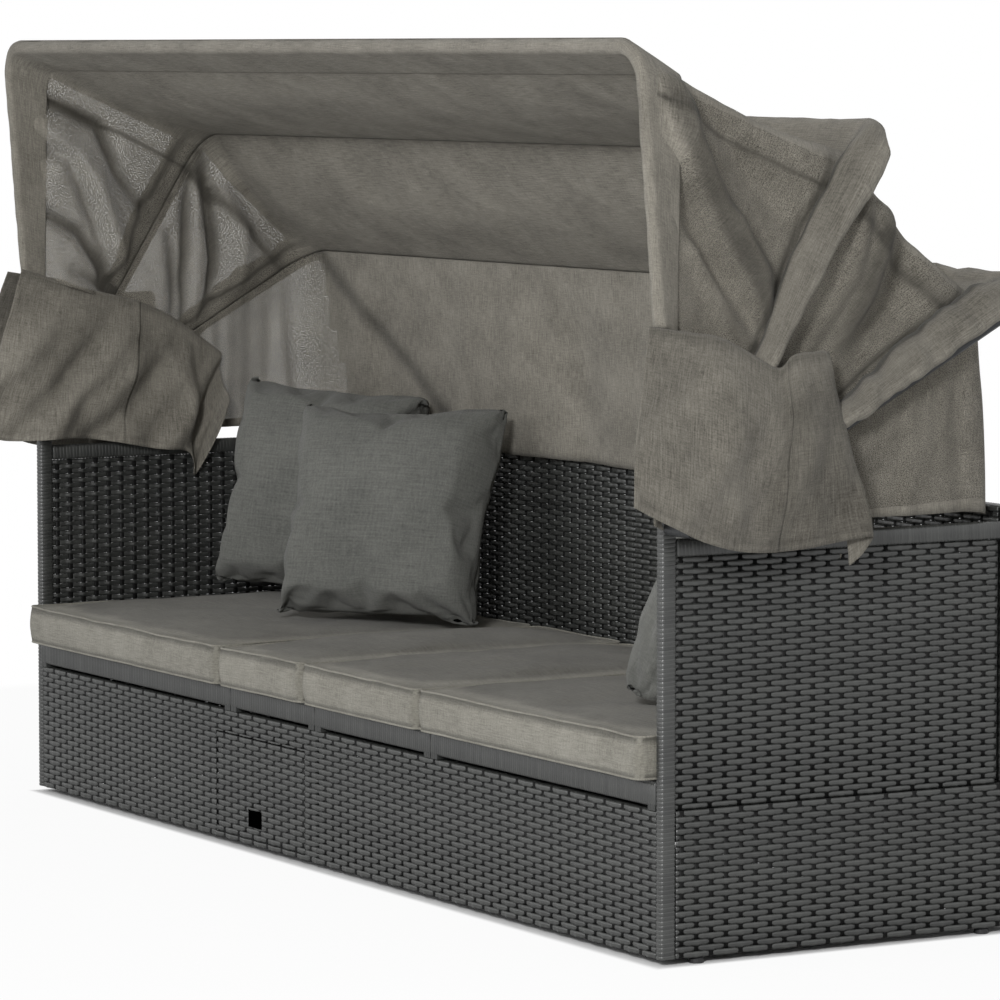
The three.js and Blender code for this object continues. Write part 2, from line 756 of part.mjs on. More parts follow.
// Roof and sides between two neighbouring hoops, sagging on the roof and folded on the sides
function spanSurface(near, far, lapShare) {
  return (u, v) => {
    if (v < lapShare) {
      const angle = seamAngles[near] + frontLapAngle * (1 - v / lapShare);
      return sleevePoint(near, u, angle);
    }
    const whole = (v - lapShare) / (1 - lapShare);
    const nearPoint = sleevePoint(near, u);
    const farPoint = sleevePoint(far, u);
    const edge = panelGap / 2 / nearPoint.distanceTo(farPoint);
    const start = lapShare > 0 ? 0 : edge;
    const t = THREE.MathUtils.lerp(start, 1 - edge, whole);
    const point = nearPoint.lerp(farPoint, t);
    const belly = Math.sin(Math.PI * t);
    const roof = roofShare(u);
    const middleTurn = THREE.MathUtils.degToRad(THREE.MathUtils.lerp(seamAngles[near], seamAngles[far], t));
    const waves = 0.5 + 0.5 * Math.cos(2 * Math.PI * (roofFolds * u + t));
    const sag = (roofSag + foldDepth * waves) * belly * roof;
    point.y -= sag * Math.cos(middleTurn);
    point.z -= sag * Math.sin(middleTurn);
    const fan = 0.5 - 0.5 * Math.cos(2 * Math.PI * sideFolds * t);
    point.x += Math.sign(u - 0.5) * foldDepth * fan * (1 - roof);
    return point;
  };
}

// Curtain that hangs from the rear hoop: outside the arms at the sides, inside the back panels
function curtainSurface(u, v) {
  const top = sleevePoint(2, u);
  const half = sheetHalves[2];
  const backY = backFace - backHemClearance - fabricThickness;
  const side = Math.sign(u - 0.5);
  const roof = roofShare(u);
  const bottom = new THREE.Vector3(
    side * Math.min(Math.abs(top.x), half),
    THREE.MathUtils.lerp(Math.min(top.y, backY), backY, roof),
    armRailTop + THREE.MathUtils.lerp(sideHemRise, backHemRise, roof),
  );
  const cornerX = half - hemCornerRadius;
  const cornerY = backY - hemCornerRadius;
  const corner = new THREE.Vector2(Math.abs(bottom.x) - cornerX, bottom.y - cornerY);
  if (corner.x > 0 && corner.y > 0) {
    corner.setLength(Math.min(corner.length(), hemCornerRadius));
    bottom.x = side * (cornerX + corner.x);
    bottom.y = cornerY + corner.y;
  }
  const edge = panelGap / top.distanceTo(bottom);
  const point = top.lerp(bottom, THREE.MathUtils.lerp(edge, 1, v));
  const waves = 0.5 + 0.5 * Math.cos(2 * Math.PI * roofFolds * 2 * u);
  point.y -= foldDepth * waves * v * roof;
  point.x += side * foldDepth * waves * v * (1 - roof);
  return point;
}

// Point on the centre line of hoop i's tube that lies nearest a point of the sheet
function hoopLine(i, point) {
  const side = Math.sign(point.x);
  const cornerX = hoopHalves[i] - hoopCornerRadius;
  const cornerReach = hoopReaches[i] - hoopCornerRadius;
  const reach = Math.hypot(point.y - pivotY, point.z - pivotHeight);
  const over = new THREE.Vector2(Math.abs(point.x) - cornerX, reach - cornerReach);
  if (over.x > 0 && over.y > 0) {
    over.setLength(hoopCornerRadius);
  } else if (over.x > over.y) {
    over.x = hoopCornerRadius;
  } else {
    over.y = hoopCornerRadius;
  }
  return hoopPoint(cornerReach + over.y, hoopAngles[i], side * (cornerX + over.x));
}

// Fin that hangs the sheet from hoop i, between the sheet's outer face and the tube
function finSurface(i) {
  return (u, v) => {
    const seam = sleevePoint(i, u);
    const line = hoopLine(i, seam);
    const wide = seam.distanceTo(line);
    const [start, end] = [fabricThickness + finGaps[i], wide - hoopTubeRadius - sideGap];
    return seam.lerp(line, THREE.MathUtils.lerp(start, end, v) / wide);
  };
}

addPiece('canopy_front', fabricSheet(fabricColumns, 7, spanSurface(0, 1, 1 / 7)), 'canopy');
addPiece('canopy_middle', fabricSheet(fabricColumns, 5, spanSurface(1, 2, 0)), 'canopy');
addPiece('canopy_rear', fabricSheet(fabricColumns, 5, curtainSurface), 'canopy');
addPiece('canopy_fin_middle', fabricSheet(fabricColumns, 1, finSurface(1)), 'canopy');
addPiece('canopy_fin_rear', fabricSheet(fabricColumns, 1, finSurface(2)), 'canopy');

// Value of a chain of values at a share, each value at its own share
function chainValue(shares, values, share) {
  let i = 1;
  while (i < shares.length - 1 && share > shares[i]) {
    i += 1;
  }
  return THREE.MathUtils.mapLinear(share, shares[i - 1], shares[i], values[i - 1], values[i]);
}

// Skirt below the side seams, flared outwards and forwards, with soft pleats
const skirtHemPlaces = [-skirtFrontHemReach, skirtNearHemSetback, skirtFarHemSetback, skirtEndHemSetback];
const skirtHemRises = [skirtFrontHemRise, -skirtNearHemDrop, -skirtFarHemDrop, skirtEndHemRise];
const skirtHemHeights = skirtHemRises.map((rise) => armRailTop + rise);

function skirtSurface(down, along) {
  const tops = [0, 1, 2].map((i) => hoopPoint(
    sleeveStarts[i] - panelGap, hoopAngles[i], hoopHalves[i] + hoopTubeRadius + sideGap,
  ));
  const top = new THREE.Vector3(
    chainValue(skirtSeamShares, tops.map((p) => p.x), along),
    chainValue(skirtSeamShares, tops.map((p) => p.y), along),
    chainValue(skirtSeamShares, tops.map((p) => p.z), along),
  );
  const bottom = new THREE.Vector3(
    hoopHalves[0] + hoopTubeRadius + skirtFlareWidth,
    chainValue(skirtHemShares, skirtHemPlaces, along),
    chainValue(skirtHemShares, skirtHemHeights, along),
  );
  const point = top.lerp(bottom, down);
  point.x += skirtPleatDepth * down * (0.5 - 0.5 * Math.cos(2 * Math.PI * skirtPleats * along));
  return point;
}

const rightSkirt = fabricSheet(5, 14, skirtSurface);
const leftSkirt = mirroredFaces(rightSkirt.clone().scale(-1, 1, 1));
addPiece('canopy_skirt_left', leftSkirt, 'canopy');
addPiece('canopy_skirt_right', rightSkirt, 'canopy');

// The origin is the middle of the whole, on the floor
const extent = new THREE.Box3().setFromObject(daybed);
body.position.set(-(extent.min.x + extent.max.x) / 2, -(extent.min.y + extent.max.y) / 2, 0);

export default daybed;
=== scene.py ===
import math
import random

import bmesh
import bpy
from mathutils import Euler, Matrix, Vector, noise


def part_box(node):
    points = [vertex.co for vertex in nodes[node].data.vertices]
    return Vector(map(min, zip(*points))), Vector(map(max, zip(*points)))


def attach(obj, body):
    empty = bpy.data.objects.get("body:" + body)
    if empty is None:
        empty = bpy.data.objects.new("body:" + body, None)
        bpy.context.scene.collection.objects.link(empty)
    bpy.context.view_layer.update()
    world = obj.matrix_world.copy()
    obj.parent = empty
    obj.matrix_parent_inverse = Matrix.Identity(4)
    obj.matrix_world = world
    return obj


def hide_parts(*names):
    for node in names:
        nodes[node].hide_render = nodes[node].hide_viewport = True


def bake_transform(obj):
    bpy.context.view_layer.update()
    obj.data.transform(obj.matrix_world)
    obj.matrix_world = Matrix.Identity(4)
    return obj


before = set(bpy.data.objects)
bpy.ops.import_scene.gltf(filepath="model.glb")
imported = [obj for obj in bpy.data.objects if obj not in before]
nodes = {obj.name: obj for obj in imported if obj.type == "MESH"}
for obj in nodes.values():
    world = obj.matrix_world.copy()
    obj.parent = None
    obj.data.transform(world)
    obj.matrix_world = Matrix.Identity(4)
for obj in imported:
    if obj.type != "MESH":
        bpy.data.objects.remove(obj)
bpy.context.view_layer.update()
millimetre = 0.001
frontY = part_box("base_front_panel_left")[0].y  # the front face of the woven body
print("frame loaded")


# shader wiring
class Wire:
    def __init__(self, tree, socket=None):
        self.tree = tree
        self.socket = socket

    def add(self, kind, settings, sockets, output=0):
        node = self.tree.nodes.new(kind)
        for key, value in settings.items():
            if key == "stops":
                ramp = node.color_ramp
                while len(ramp.elements) < len(value):
                    ramp.elements.new(0.5)
                for element, (position, colour) in zip(ramp.elements, value):
                    element.position = position
                    element.color = (*colour, 1) if len(colour) == 3 else colour
            else:
                setattr(node, key, value)
        for key, value in sockets.items():
            if isinstance(value, Wire):
                self.tree.links.new(value.socket, node.inputs[key])
            else:
                node.inputs[key].default_value = value
        return Wire(self.tree, node.outputs[output])

    def math(self, operation, first, second=0.0):
        return self.add("ShaderNodeMath", {"operation": operation}, {0: first, 1: second})

    def __add__(self, other):
        return self.math("ADD", self, other)

    def __radd__(self, other):
        return self.math("ADD", other, self)

    def __sub__(self, other):
        return self.math("SUBTRACT", self, other)

    def __rsub__(self, other):
        return self.math("SUBTRACT", other, self)

    def __mul__(self, other):
        return self.math("MULTIPLY", self, other)

    def __rmul__(self, other):
        return self.math("MULTIPLY", other, self)

    def __pow__(self, other):
        return self.math("POWER", self, other)

    def sine(self):
        return self.math("SINE", self)

    def magnitude(self):
        return self.math("ABSOLUTE", self)

    def between(self, low, high):
        return self.add("ShaderNodeMapRange", {"clamp": True}, {"Value": self, "From Min": low, "From Max": high})

    def scaled(self, x, y, z):
        return self.add("ShaderNodeVectorMath", {"operation": "MULTIPLY"}, {0: self, 1: (x, y, z)})

    def grain(self, scale, detail=2.0, roughness=0.5):
        return self.add("ShaderNodeTexNoise", {}, {"Vector": self, "Scale": scale, "Detail": detail, "Roughness": roughness})

    def tint(self, dark, light):
        return self.add("ShaderNodeMix", {"data_type": "RGBA"}, {0: self, 6: (*dark, 1), 7: (*light, 1)}, 2)

    def bump(self, strength, distance):
        return self.add("ShaderNodeBump", {}, {"Height": self, "Strength": strength, "Distance": distance})


def newMaterial(name):
    material = bpy.data.materials.new(name)
    material.use_nodes = True
    material.node_tree.nodes.clear()
    return material, Wire(material.node_tree)


def finishMaterial(wire, shader):
    output = wire.tree.nodes.new("ShaderNodeOutputMaterial")
    wire.tree.links.new(shader.socket, output.inputs["Surface"])


def surfaceUv(wire):
    return wire.add("ShaderNodeTexCoord", {}, {}, "UV")


def objectPlace(wire):
    return wire.add("ShaderNodeTexCoord", {}, {}, "Object")


def attributeOf(wire, name):
    return wire.add("ShaderNodeAttribute", {"attribute_name": name}, {}, "Fac")


# materials
# the stakes: the same strand as the rest, painted much darker for the shade between the bulging strands
shadedStakeFinish = {"dark": (0.002, 0.002, 0.002), "light": (0.012, 0.012, 0.012), "roughness": 0.5, "shine": 0.2}
strandFinish = {
    "shine": 0.8,
    "dark": (0.006, 0.0065, 0.0065),
    "light": (0.048, 0.050, 0.047),
    "roughness": 0.32,
}


def strandMaterial(name, finish, grooves):
    material, wire = newMaterial(name)
    uv = surfaceUv(wire)  # u runs along the strand in metres, v across it from 0 to 1
    along = uv.scaled(70, 2.6, 1).grain(1.0, 3.0, 0.6)
    fine = uv.scaled(420, 5.0, 1).grain(1.0, 2.0, 0.6)
    across = wire.add("ShaderNodeSeparateXYZ", {}, {0: uv}, 1)
    ridge = (across * (math.pi * grooves)).sine().magnitude()
    # the tone attribute: random tone per strand or wrap, and on woven panels also painted highlight over the stakes and
    # painted shade behind them
    tone = attributeOf(wire, "tone")
    mix = along * 0.35 + fine * 0.2 + ridge * 0.3 + tone * 0.36 - 0.1
    colour = mix.tint(finish["dark"], finish["light"])
    height = ridge * 0.7 + fine * 0.3
    shader = wire.add("ShaderNodeBsdfPrincipled", {}, {
        "Base Color": colour,
        "Roughness": finish["roughness"] + 0.16 * fine,
        "Specular IOR Level": finish["shine"],
        "Normal": height.bump(0.5, 0.0006),
    })
    finishMaterial(wire, shader)
    return material


clothFinish = {
    "canopy": {"dark": (0.100, 0.092, 0.076), "light": (0.350, 0.328, 0.280), "holes": 0.0, "glow": 0.10, "slub": 1.0},
    "canopySide": {"dark": (0.100, 0.092, 0.076), "light": (0.350, 0.328, 0.280), "holes": 0.60, "glow": 0.18, "slub": 1.0},
    "cushion": {"dark": (0.135, 0.128, 0.106), "light": (0.330, 0.318, 0.275), "holes": 0.0, "glow": 0.0, "slub": 0.8},
    "pillow": {"dark": (0.074, 0.076, 0.070), "light": (0.160, 0.161, 0.148), "holes": 0.0, "glow": 0.0, "slub": 0.7},
}


def clothMaterial(name, finish):
    material, wire = newMaterial(name)
    uv = surfaceUv(wire)  # metres on the cloth
    slubs = uv.scaled(26, 420, 1).grain(1.0, 4.0, 0.62)  # long thick and thin places of the yarn
    cross = uv.scaled(330, 44, 1).grain(1.0, 3.0, 0.62)
    blotch = uv.grain(9.0, 4.0, 0.55)
    melange = uv.grain(360.0, 2.0, 0.6)
    mix = (slubs * finish["slub"] + cross * 0.55 + melange * 0.6 + blotch * 0.55 - (finish["slub"] * 0.5 + 0.42)).between(0.12, 0.78)
    place = wire.add("ShaderNodeSeparateXYZ", {}, {0: uv}, 0), wire.add("ShaderNodeSeparateXYZ", {}, {0: uv}, 1)
    threads = (place[0] * (2 * math.pi / 0.0018)).sine() * (place[1] * (2 * math.pi / 0.0018)).sine()
    height = threads * 0.3 + slubs * 0.5 + cross * 0.5 + melange * 0.4
    # painted shade: the shade attribute darkens the colour by up to 72 % at fold bottoms, seams, hem lines and slots;
    # on the see-through sides it also closes the pores there
    shade = 1 - attributeOf(wire, "shade") * 0.72
    colour = mix.tint(finish["dark"], finish["light"])
    colour = wire.add("ShaderNodeMix", {"data_type": "RGBA", "blend_type": "MULTIPLY"}, {0: 1.0, 6: colour, 7: shade}, 2)
    sockets = {
        "Base Color": colour,
        "Roughness": 0.9,
        "Specular IOR Level": 0.15,
        "Sheen Weight": 0.10,
        "Sheen Roughness": 0.5,
        "Normal": height.bump(0.6, 0.0011),
    }
    if finish["holes"]:
        pores = uv.scaled(340, 440, 1).grain(1.0, 1.0, 0.5).between(0.47, 0.56)
        sockets["Alpha"] = 1 - pores * finish["holes"] * (1 - attributeOf(wire, "shade"))
    shader = wire.add("ShaderNodeBsdfPrincipled", {}, sockets)
    if finish["glow"]:
        through = wire.add("ShaderNodeBsdfTranslucent", {}, {"Color": (*finish["light"], 1)})
        shader = wire.add("ShaderNodeMixShader", {}, {0: finish["glow"], 1: shader, 2: through})
    finishMaterial(wire, shader)
    return material


def plasticMaterial(name, dark, light, roughness, metallic=0.0, scale=160.0):
    material, wire = newMaterial(name)
    place = objectPlace(wire)
    speckle = place.grain(scale, 3.0, 0.6)
    shader = wire.add("ShaderNodeBsdfPrincipled", {}, {
        "Base Color": speckle.tint(dark, light),
        "Metallic": metallic,
        "Roughness": roughness - 0.1 + 0.2 * speckle,
        "Normal": speckle.bump(0.2, 0.0003),
    })
    finishMaterial(wire, shader)
    return material


def blockStrandMaterial(name, finish, alongAxis):
    # for CAD nodes: strand lines from object coordinates, across the run given by the axis
    material, wire = newMaterial(name)
    place = objectPlace(wire)
    x, y, z = (wire.add("ShaderNodeSeparateXYZ", {}, {0: place}, i) for i in range(3))
    run = {"x": x, "y": y, "z": z}[alongAxis]
    ridge = (run * (math.pi / 0.0066)).sine().magnitude()
    fine = place.grain(340.0, 3.0, 0.6)
    coarse = place.grain(60.0, 2.0, 0.5)
    mix = (ridge ** 0.5) * 0.4 + fine * 0.4 + coarse * 0.4 - 0.25
    shader = wire.add("ShaderNodeBsdfPrincipled", {}, {
        "Base Color": mix.tint(finish["dark"], finish["light"]),
        "Roughness": 0.42 + 0.2 * fine,
        "Normal": (ridge ** 0.5 + fine * 0.4).bump(0.6, 0.001),
    })
    finishMaterial(wire, shader)
    return material


looks = {
    "strand": strandMaterial("woven_strand", strandFinish, 2),
    "stake": strandMaterial("stake_strand_painted_shade", shadedStakeFinish, 2),
    "wrap": strandMaterial("wound_strand", strandFinish, 2),
    "deckWrap": blockStrandMaterial("deck_wrap", strandFinish, "x"),
    "innerWeave": blockStrandMaterial("inner_weave", strandFinish, "z"),
    "canopy": clothMaterial("canopy_canvas", clothFinish["canopy"]),
    "canopySide": clothMaterial("canopy_open_canvas", clothFinish["canopySide"]),
    "cushion": clothMaterial("cushion_canvas", clothFinish["cushion"]),
    "pillow": clothMaterial("pillow_canvas", clothFinish["pillow"]),
    "steel": plasticMaterial("coated_steel", (0.020, 0.021, 0.022), (0.040, 0.042, 0.044), 0.45, 0.3),
    "glide": plasticMaterial("glide_plastic", (0.008, 0.008, 0.009), (0.02, 0.02, 0.021), 0.55),
    "liner": plasticMaterial("liner_plastic", (0.012, 0.012, 0.013), (0.028, 0.028, 0.03), 0.6),
}
print("materials made")


# mesh helpers
def toObject(bm, name, material, smooth=True):
    mesh = bpy.data.meshes.new(name)
    for face in bm.faces:
        face.smooth = smooth
    bm.to_mesh(mesh)
    bm.free()
    piece = bpy.data.objects.new(name, mesh)
    bpy.context.scene.collection.objects.link(piece)
    mesh.materials.append(looks[material])
    return piece


def thicken(piece, thickness, offset=-1.0):
    wall = piece.modifiers.new("wall", "SOLIDIFY")
    wall.thickness = thickness
    wall.offset = offset
    wall.use_rim = True
    return piece


def refine(piece, levels=1):
    finer = piece.modifiers.new("finer", "SUBSURF")
    finer.levels = levels
    finer.render_levels = levels
    return piece


def setUv(bm, rule):
    layer = bm.loops.layers.uv.verify()
    for face in bm.faces:
        for loop in face.loops:
            loop[layer].uv = rule(loop.vert.co)


def shapedGrid(columns, rows, place, uvSize=(1.0, 1.0)):
    # a flat cut of cloth, unit square, laid out by a rule from shares to a place
    bm = bmesh.new()
    bmesh.ops.create_grid(bm, x_segments=columns, y_segments=rows, size=0.5)
    bmesh.ops.translate(bm, verts=bm.verts, vec=(0.5, 0.5, 0))
    setUv(bm, lambda co: (co.x * uvSize[0], co.y * uvSize[1]))
    shares = {}
    for vert in bm.verts:
        shares[vert.index] = (vert.co.x, vert.co.y)
        vert.co = place(vert.co.x, vert.co.y)
    bm.normal_update()
    return bm, shares


def relief(bm, shares, height):
    # moves each point along its normal by a rule from shares and place
    moves = [(vert, vert.normal * height(*shares[vert.index], vert.co)) for vert in bm.verts]
    for vert, move in moves:
        vert.co += move
    bm.normal_update()


def addShade(bm, shares, rule):
    # painted shade, from 0 to 1: darkens the cloth's colour along seams, hem lines and the bottoms of folds, where
    # shade falls
    layer = bm.verts.layers.float.new("shade")
    for vert in bm.verts:
        vert[layer] = min(1, max(0, rule(*shares[vert.index], vert.co)))


def lerp(a, b, share):
    return a + (b - a) * share


def smooth(low, high, value):
    share = min(1.0, max(0.0, (value - low) / (high - low)))
    return share * share * (3 - 2 * share)


def rough(point, scale, seed=0.0):
    return noise.noise(Vector(point) * scale + Vector((seed, seed * 0.7, -seed)))


# woven panels
weave = {
    "rowPitch": 8.85 * millimetre,
    "stakePitch": 26.2 * millimetre,
    "stakeWidth": 8.4 * millimetre,
    "over": 1.9 * millimetre,
    "under": 3.4 * millimetre,
    "round": 0.5 * millimetre,
    "stakeDepth": -1.4 * millimetre,
    "strandThickness": 1.1 * millimetre,
    "stepsPerStake": 6,
}


def wovenPanel(name, place, u0, u1, w0, w1, opening=None, seed=1):
    # strands run along u and stakes along w in a flat panel; place turns (u, w, out) into the room
    rng = random.Random(seed)
    pitch = weave["stakePitch"]
    rows = max(1, round((w1 - w0) / weave["rowPitch"]))
    rowPitch = (w1 - w0) / rows
    steps = max(4, round((u1 - u0) / pitch * weave["stepsPerStake"]))
    bm = bmesh.new()
    toneLayer = bm.verts.layers.float.new("tone")
    uvLayer = bm.loops.layers.uv.verify()
    for row in range(rows):
        made = bmesh.ops.create_grid(bm, x_segments=steps, y_segments=2, size=0.5)["verts"]
        tone = rng.uniform(0.0, 1.0)
        shift = rng.uniform(0.0, 9.0)
        middle = w0 + (row + 0.5) * rowPitch
        faces = {face for vert in made for face in vert.link_faces}
        for face in faces:
            for loop in face.loops:
                loop[uvLayer].uv = (lerp(u0, u1, loop.vert.co.x + 0.5) + shift, loop.vert.co.y + 0.5)
        for vert in made:
            u = lerp(u0, u1, vert.co.x + 0.5)
            wave = math.cos(math.pi * u / pitch + math.pi * row)
            over = max(0, wave) ** 6
            under = max(0, -wave) ** 6
            w = middle + vert.co.y * rowPitch * (0.985 + 0.05 * over - 0.12 * under)
            # painted highlight on the bulges where a strand passes over a stake, painted shade where it dives behind
            # one, added to the strand's random tone
            vert[toneLayer] = tone + 0.5 * over - 0.4 * under
            out = weave["over"] * over - weave["under"] * under + weave["round"] * (1 - 2 * abs(vert.co.y))
            vert.co = (u, w, out)
    first = math.ceil(u0 / pitch + 0.2)
    last = math.floor(u1 / pitch - 0.2)
    for stake in range(first, last + 1):
        made = bmesh.ops.create_grid(bm, x_segments=1, y_segments=2, size=0.5)["verts"]
        tone = rng.uniform(0.0, 0.6)
        faces = {face for vert in made for face in vert.link_faces}
        for face in faces:
            # stakes take the darker stake finish: painted shade
            face.material_index = 1
            for loop in face.loops:
                loop[uvLayer].uv = (lerp(w0, w1, loop.vert.co.y + 0.5) + stake, loop.vert.co.x + 0.5)
        for vert in made:
            vert[toneLayer] = tone
            vert.co = (stake * pitch + vert.co.x * weave["stakeWidth"], lerp(w0, w1, vert.co.y + 0.5), weave["stakeDepth"])
    if opening:
        ou0, ou1, ow0, ow1 = opening
        for point, normal in (((ou0, 0, 0), (1, 0, 0)), ((ou1, 0, 0), (1, 0, 0)), ((0, ow0, 0), (0, 1, 0)), ((0, ow1, 0), (0, 1, 0))):
            bmesh.ops.bisect_plane(bm, geom=bm.verts[:] + bm.edges[:] + bm.faces[:], plane_co=point, plane_no=normal)
        inside = [f for f in bm.faces if ou0 < f.calc_center_median().x < ou1 and ow0 < f.calc_center_median().y < ow1]
        bmesh.ops.delete(bm, geom=inside, context="FACES")
    for vert in bm.verts:
        vert.co = place(vert.co.x, vert.co.y, vert.co.z)
    bm.normal_update()
    piece = toObject(bm, name, "strand")
    piece.data.materials.append(looks["stake"])
    thicken(piece, weave["strandThickness"], 0.0)
    return piece


# wrapped tubes
winding = {
    "pitch": 6.6 * millimetre,
    "proud": 0.8 * millimetre,
    "cornerSteps": 3,
}


def roundedSection(halfA, halfB, radius):
    points = []
    for quarter in range(4):
        signA = 1 if quarter in (0, 3) else -1
        signB = 1 if quarter in (0, 1) else -1
        for step in range(winding["cornerSteps"]):
            angle = (quarter + step / (winding["cornerSteps"] - 1)) * math.pi / 2
            points.append((
                signA * (halfA - radius) + radius * math.cos(angle),
                signB * (halfB - radius) + radius * math.sin(angle),
            ))
    return points


def woundTube(name, start, end, acrossA, halfA, halfB, radius, seed=1, material="wrap"):
    # a straight tube of rounded square section with a strand wound round it
    rng = random.Random(seed)
    start, end = Vector(start), Vector(end)
    axis = (end - start).normalized()
    acrossA = Vector(acrossA).normalized()
    acrossB = axis.cross(acrossA)
    length = (end - start).length
    turns = max(2, round(length / winding["pitch"]))
    section = roundedSection(halfA - winding["proud"], halfB - winding["proud"], radius)
    sides = len(section)
    rings = []
    tones = [rng.uniform(0, 1) for _ in range(turns)]
    for turn in range(turns):
        rings.append((turn / turns, 0.0, turn))
        rings.append(((turn + 0.28) / turns, 1.0, turn))
        rings.append(((turn + 0.72) / turns, 1.0, turn))
    rings.append((1.0, 0.0, turns - 1))
    bm = bmesh.new()
    toneLayer = bm.verts.layers.float.new("tone")
    uvLayer = bm.loops.layers.uv.verify()
    bmesh.ops.create_grid(bm, x_segments=sides, y_segments=len(rings) - 1, size=0.5)
    for face in bm.faces:
        for loop in face.loops:
            v = (loop.vert.co.y + 0.5) * (len(rings) - 1)
            loop[uvLayer].uv = ((loop.vert.co.x + 0.5) * 0.09 + 0.31 * round(v / 3), v / 3)
    for vert in bm.verts:
        side = round((vert.co.x + 0.5) * sides)
        share, proud, turn = rings[round((vert.co.y + 0.5) * (len(rings) - 1))]
        a, b = section[side % sides]
        push = 1 + winding["proud"] * proud / max(abs(a), abs(b), 1e-6)
        lean = 0.22 * winding["pitch"] * math.sin(2 * math.pi * side / sides) * (0 < share < 1)
        vert[toneLayer] = tones[turn]
        vert.co = start + axis * (share * length + lean) + acrossA * (a * push) + acrossB * (b * push)
    bmesh.ops.remove_doubles(bm, verts=bm.verts, dist=1e-5)
    bmesh.ops.holes_fill(bm, edges=bm.edges, sides=0)
    bmesh.ops.recalc_face_normals(bm, faces=bm.faces)
    return toObject(bm, name, material)


def onFrame(piece, slotName, *replaced, body="frame"):
    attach(piece, body)
    if replaced:
        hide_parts(*replaced)
    return piece


# base: woven plinth panels with their rails
base = {
    "panelInset": 2.8 * millimetre,
    "railInset": 16 * millimetre,
    "railHalf": 8 * millimetre,
}

for side, label in ((-1, "left"), (1, "right")):
    low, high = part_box(f"base_front_panel_{label}")
    planeY = low.y + base["panelInset"]
    opening = None
    if side < 0:
        flapLow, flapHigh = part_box("storage_flap")
        gap = 2 * millimetre
        opening = (flapLow.x - gap, flapHigh.x + gap, flapLow.z - gap, flapHigh.z + gap)
    piece = wovenPanel(
        f"base_front_weave_{label}", lambda u, w, out, y=planeY: Vector((u, y - out, w)),
        low.x, high.x, low.z, high.z, opening, seed=11 + side)
    onFrame(piece, "weave", f"base_front_panel_{label}")

    low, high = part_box(f"base_side_panel_{label}")
    outerX = high.x if side > 0 else low.x
    piece = wovenPanel(
        f"base_side_weave_{label}",
        lambda u, w, out, x=outerX - side * base["panelInset"], s=side: Vector((x + s * out, u, w)),
        low.y, high.y, low.z, high.z, seed=21 + side)
    onFrame(piece, "weave", f"base_side_panel_{label}")

    low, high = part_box(f"base_back_panel_{label}")
    piece = wovenPanel(
        f"base_back_weave_{label}",
        lambda u, w, out, y=high.y - base["panelInset"]: Vector((u, y + out, w)),
        low.x, high.x, low.z, high.z, seed=31 + side)
    onFrame(piece, "weave", f"base_back_panel_{label}")

    # rails of the plinth's frame, just behind the weave
    for node, where in ((f"base_front_panel_{label}", "front"), (f"base_back_panel_{label}", "back")):
        low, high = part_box(node)
        inward = 1 if where == "front" else -1
        y = (low.y if where == "front" else high.y) + inward * base["railInset"]
        for height, z in (("top", high.z - 0.013), ("bottom", low.z + 0.013)):
            bar = woundTube(
                f"base_{where}_rail_{height}_{label}", (low.x, y, z), (high.x, y, z), (0, 1, 0),
                base["railHalf"], 0.0125, 0.004, seed=5)
            onFrame(bar, "wrap")
    low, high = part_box(f"base_side_panel_{label}")
    x = (high.x if side > 0 else low.x) - side * base["railInset"]
    for height, z in (("top", high.z - 0.013), ("bottom", low.z + 0.013)):
        bar = woundTube(
            f"base_side_rail_{height}_{label}", (x, low.y, z), (x, high.y, z), (1, 0, 0),
            base["railHalf"], 0.0125, 0.004, seed=6)
        onFrame(bar, "wrap")
print("base woven")

# storage flap
flapLow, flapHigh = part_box("storage_flap")
piece = wovenPanel(
    "flap_weave", lambda u, w, out, y=flapLow.y + base["panelInset"]: Vector((u, y - out, w)),
    flapLow.x, flapHigh.x, flapLow.z, flapHigh.z, (-0.249, -0.199, 0.040, 0.070), seed=12)
onFrame(piece, "weave", "storage_flap", body="flap")

# arms
for side, label in ((-1, "left"), (1, "right")):
    low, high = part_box(f"arm_panel_{label}")
    outerX = high.x if side > 0 else low.x
    piece = wovenPanel(
        f"arm_weave_{label}",
        lambda u, w, out, x=outerX - side * 0.004, s=side: Vector((x + s * out, u, w)),
        low.y, high.y, low.z, high.z, seed=41 + side)
    onFrame(piece, "weave", f"arm_panel_{label}")
    low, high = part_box(f"arm_front_post_{label}")
    middle = (low + high) / 2
    half = (high - low) / 2
    onFrame(woundTube(
        f"arm_post_wrap_{label}", (middle.x, middle.y, low.z), (middle.x, middle.y, high.z), (1, 0, 0),
        half.x, half.y, 0.0045, seed=51 + side), "wrap", f"arm_front_post_{label}")
    low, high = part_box(f"arm_top_rail_{label}")
    middle = (low + high) / 2
    half = (high - low) / 2
    onFrame(woundTube(
        f"arm_rail_wrap_{label}", (middle.x, low.y, middle.z), (middle.x, high.y, middle.z), (1, 0, 0),
        half.x, half.z, 0.0045, seed=53 + side), "wrap", f"arm_top_rail_{label}")
    low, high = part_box(f"arm_rear_post_{label}")
    middle = (low + high) / 2
    half = (high - low) / 2
    onFrame(woundTube(
        f"arm_rear_wrap_{label}", (middle.x, middle.y, low.z), (middle.x, middle.y, high.z), (1, 0, 0),
        half.x, half.y, 0.0045, seed=55 + side), "wrap", f"arm_rear_post_{label}")

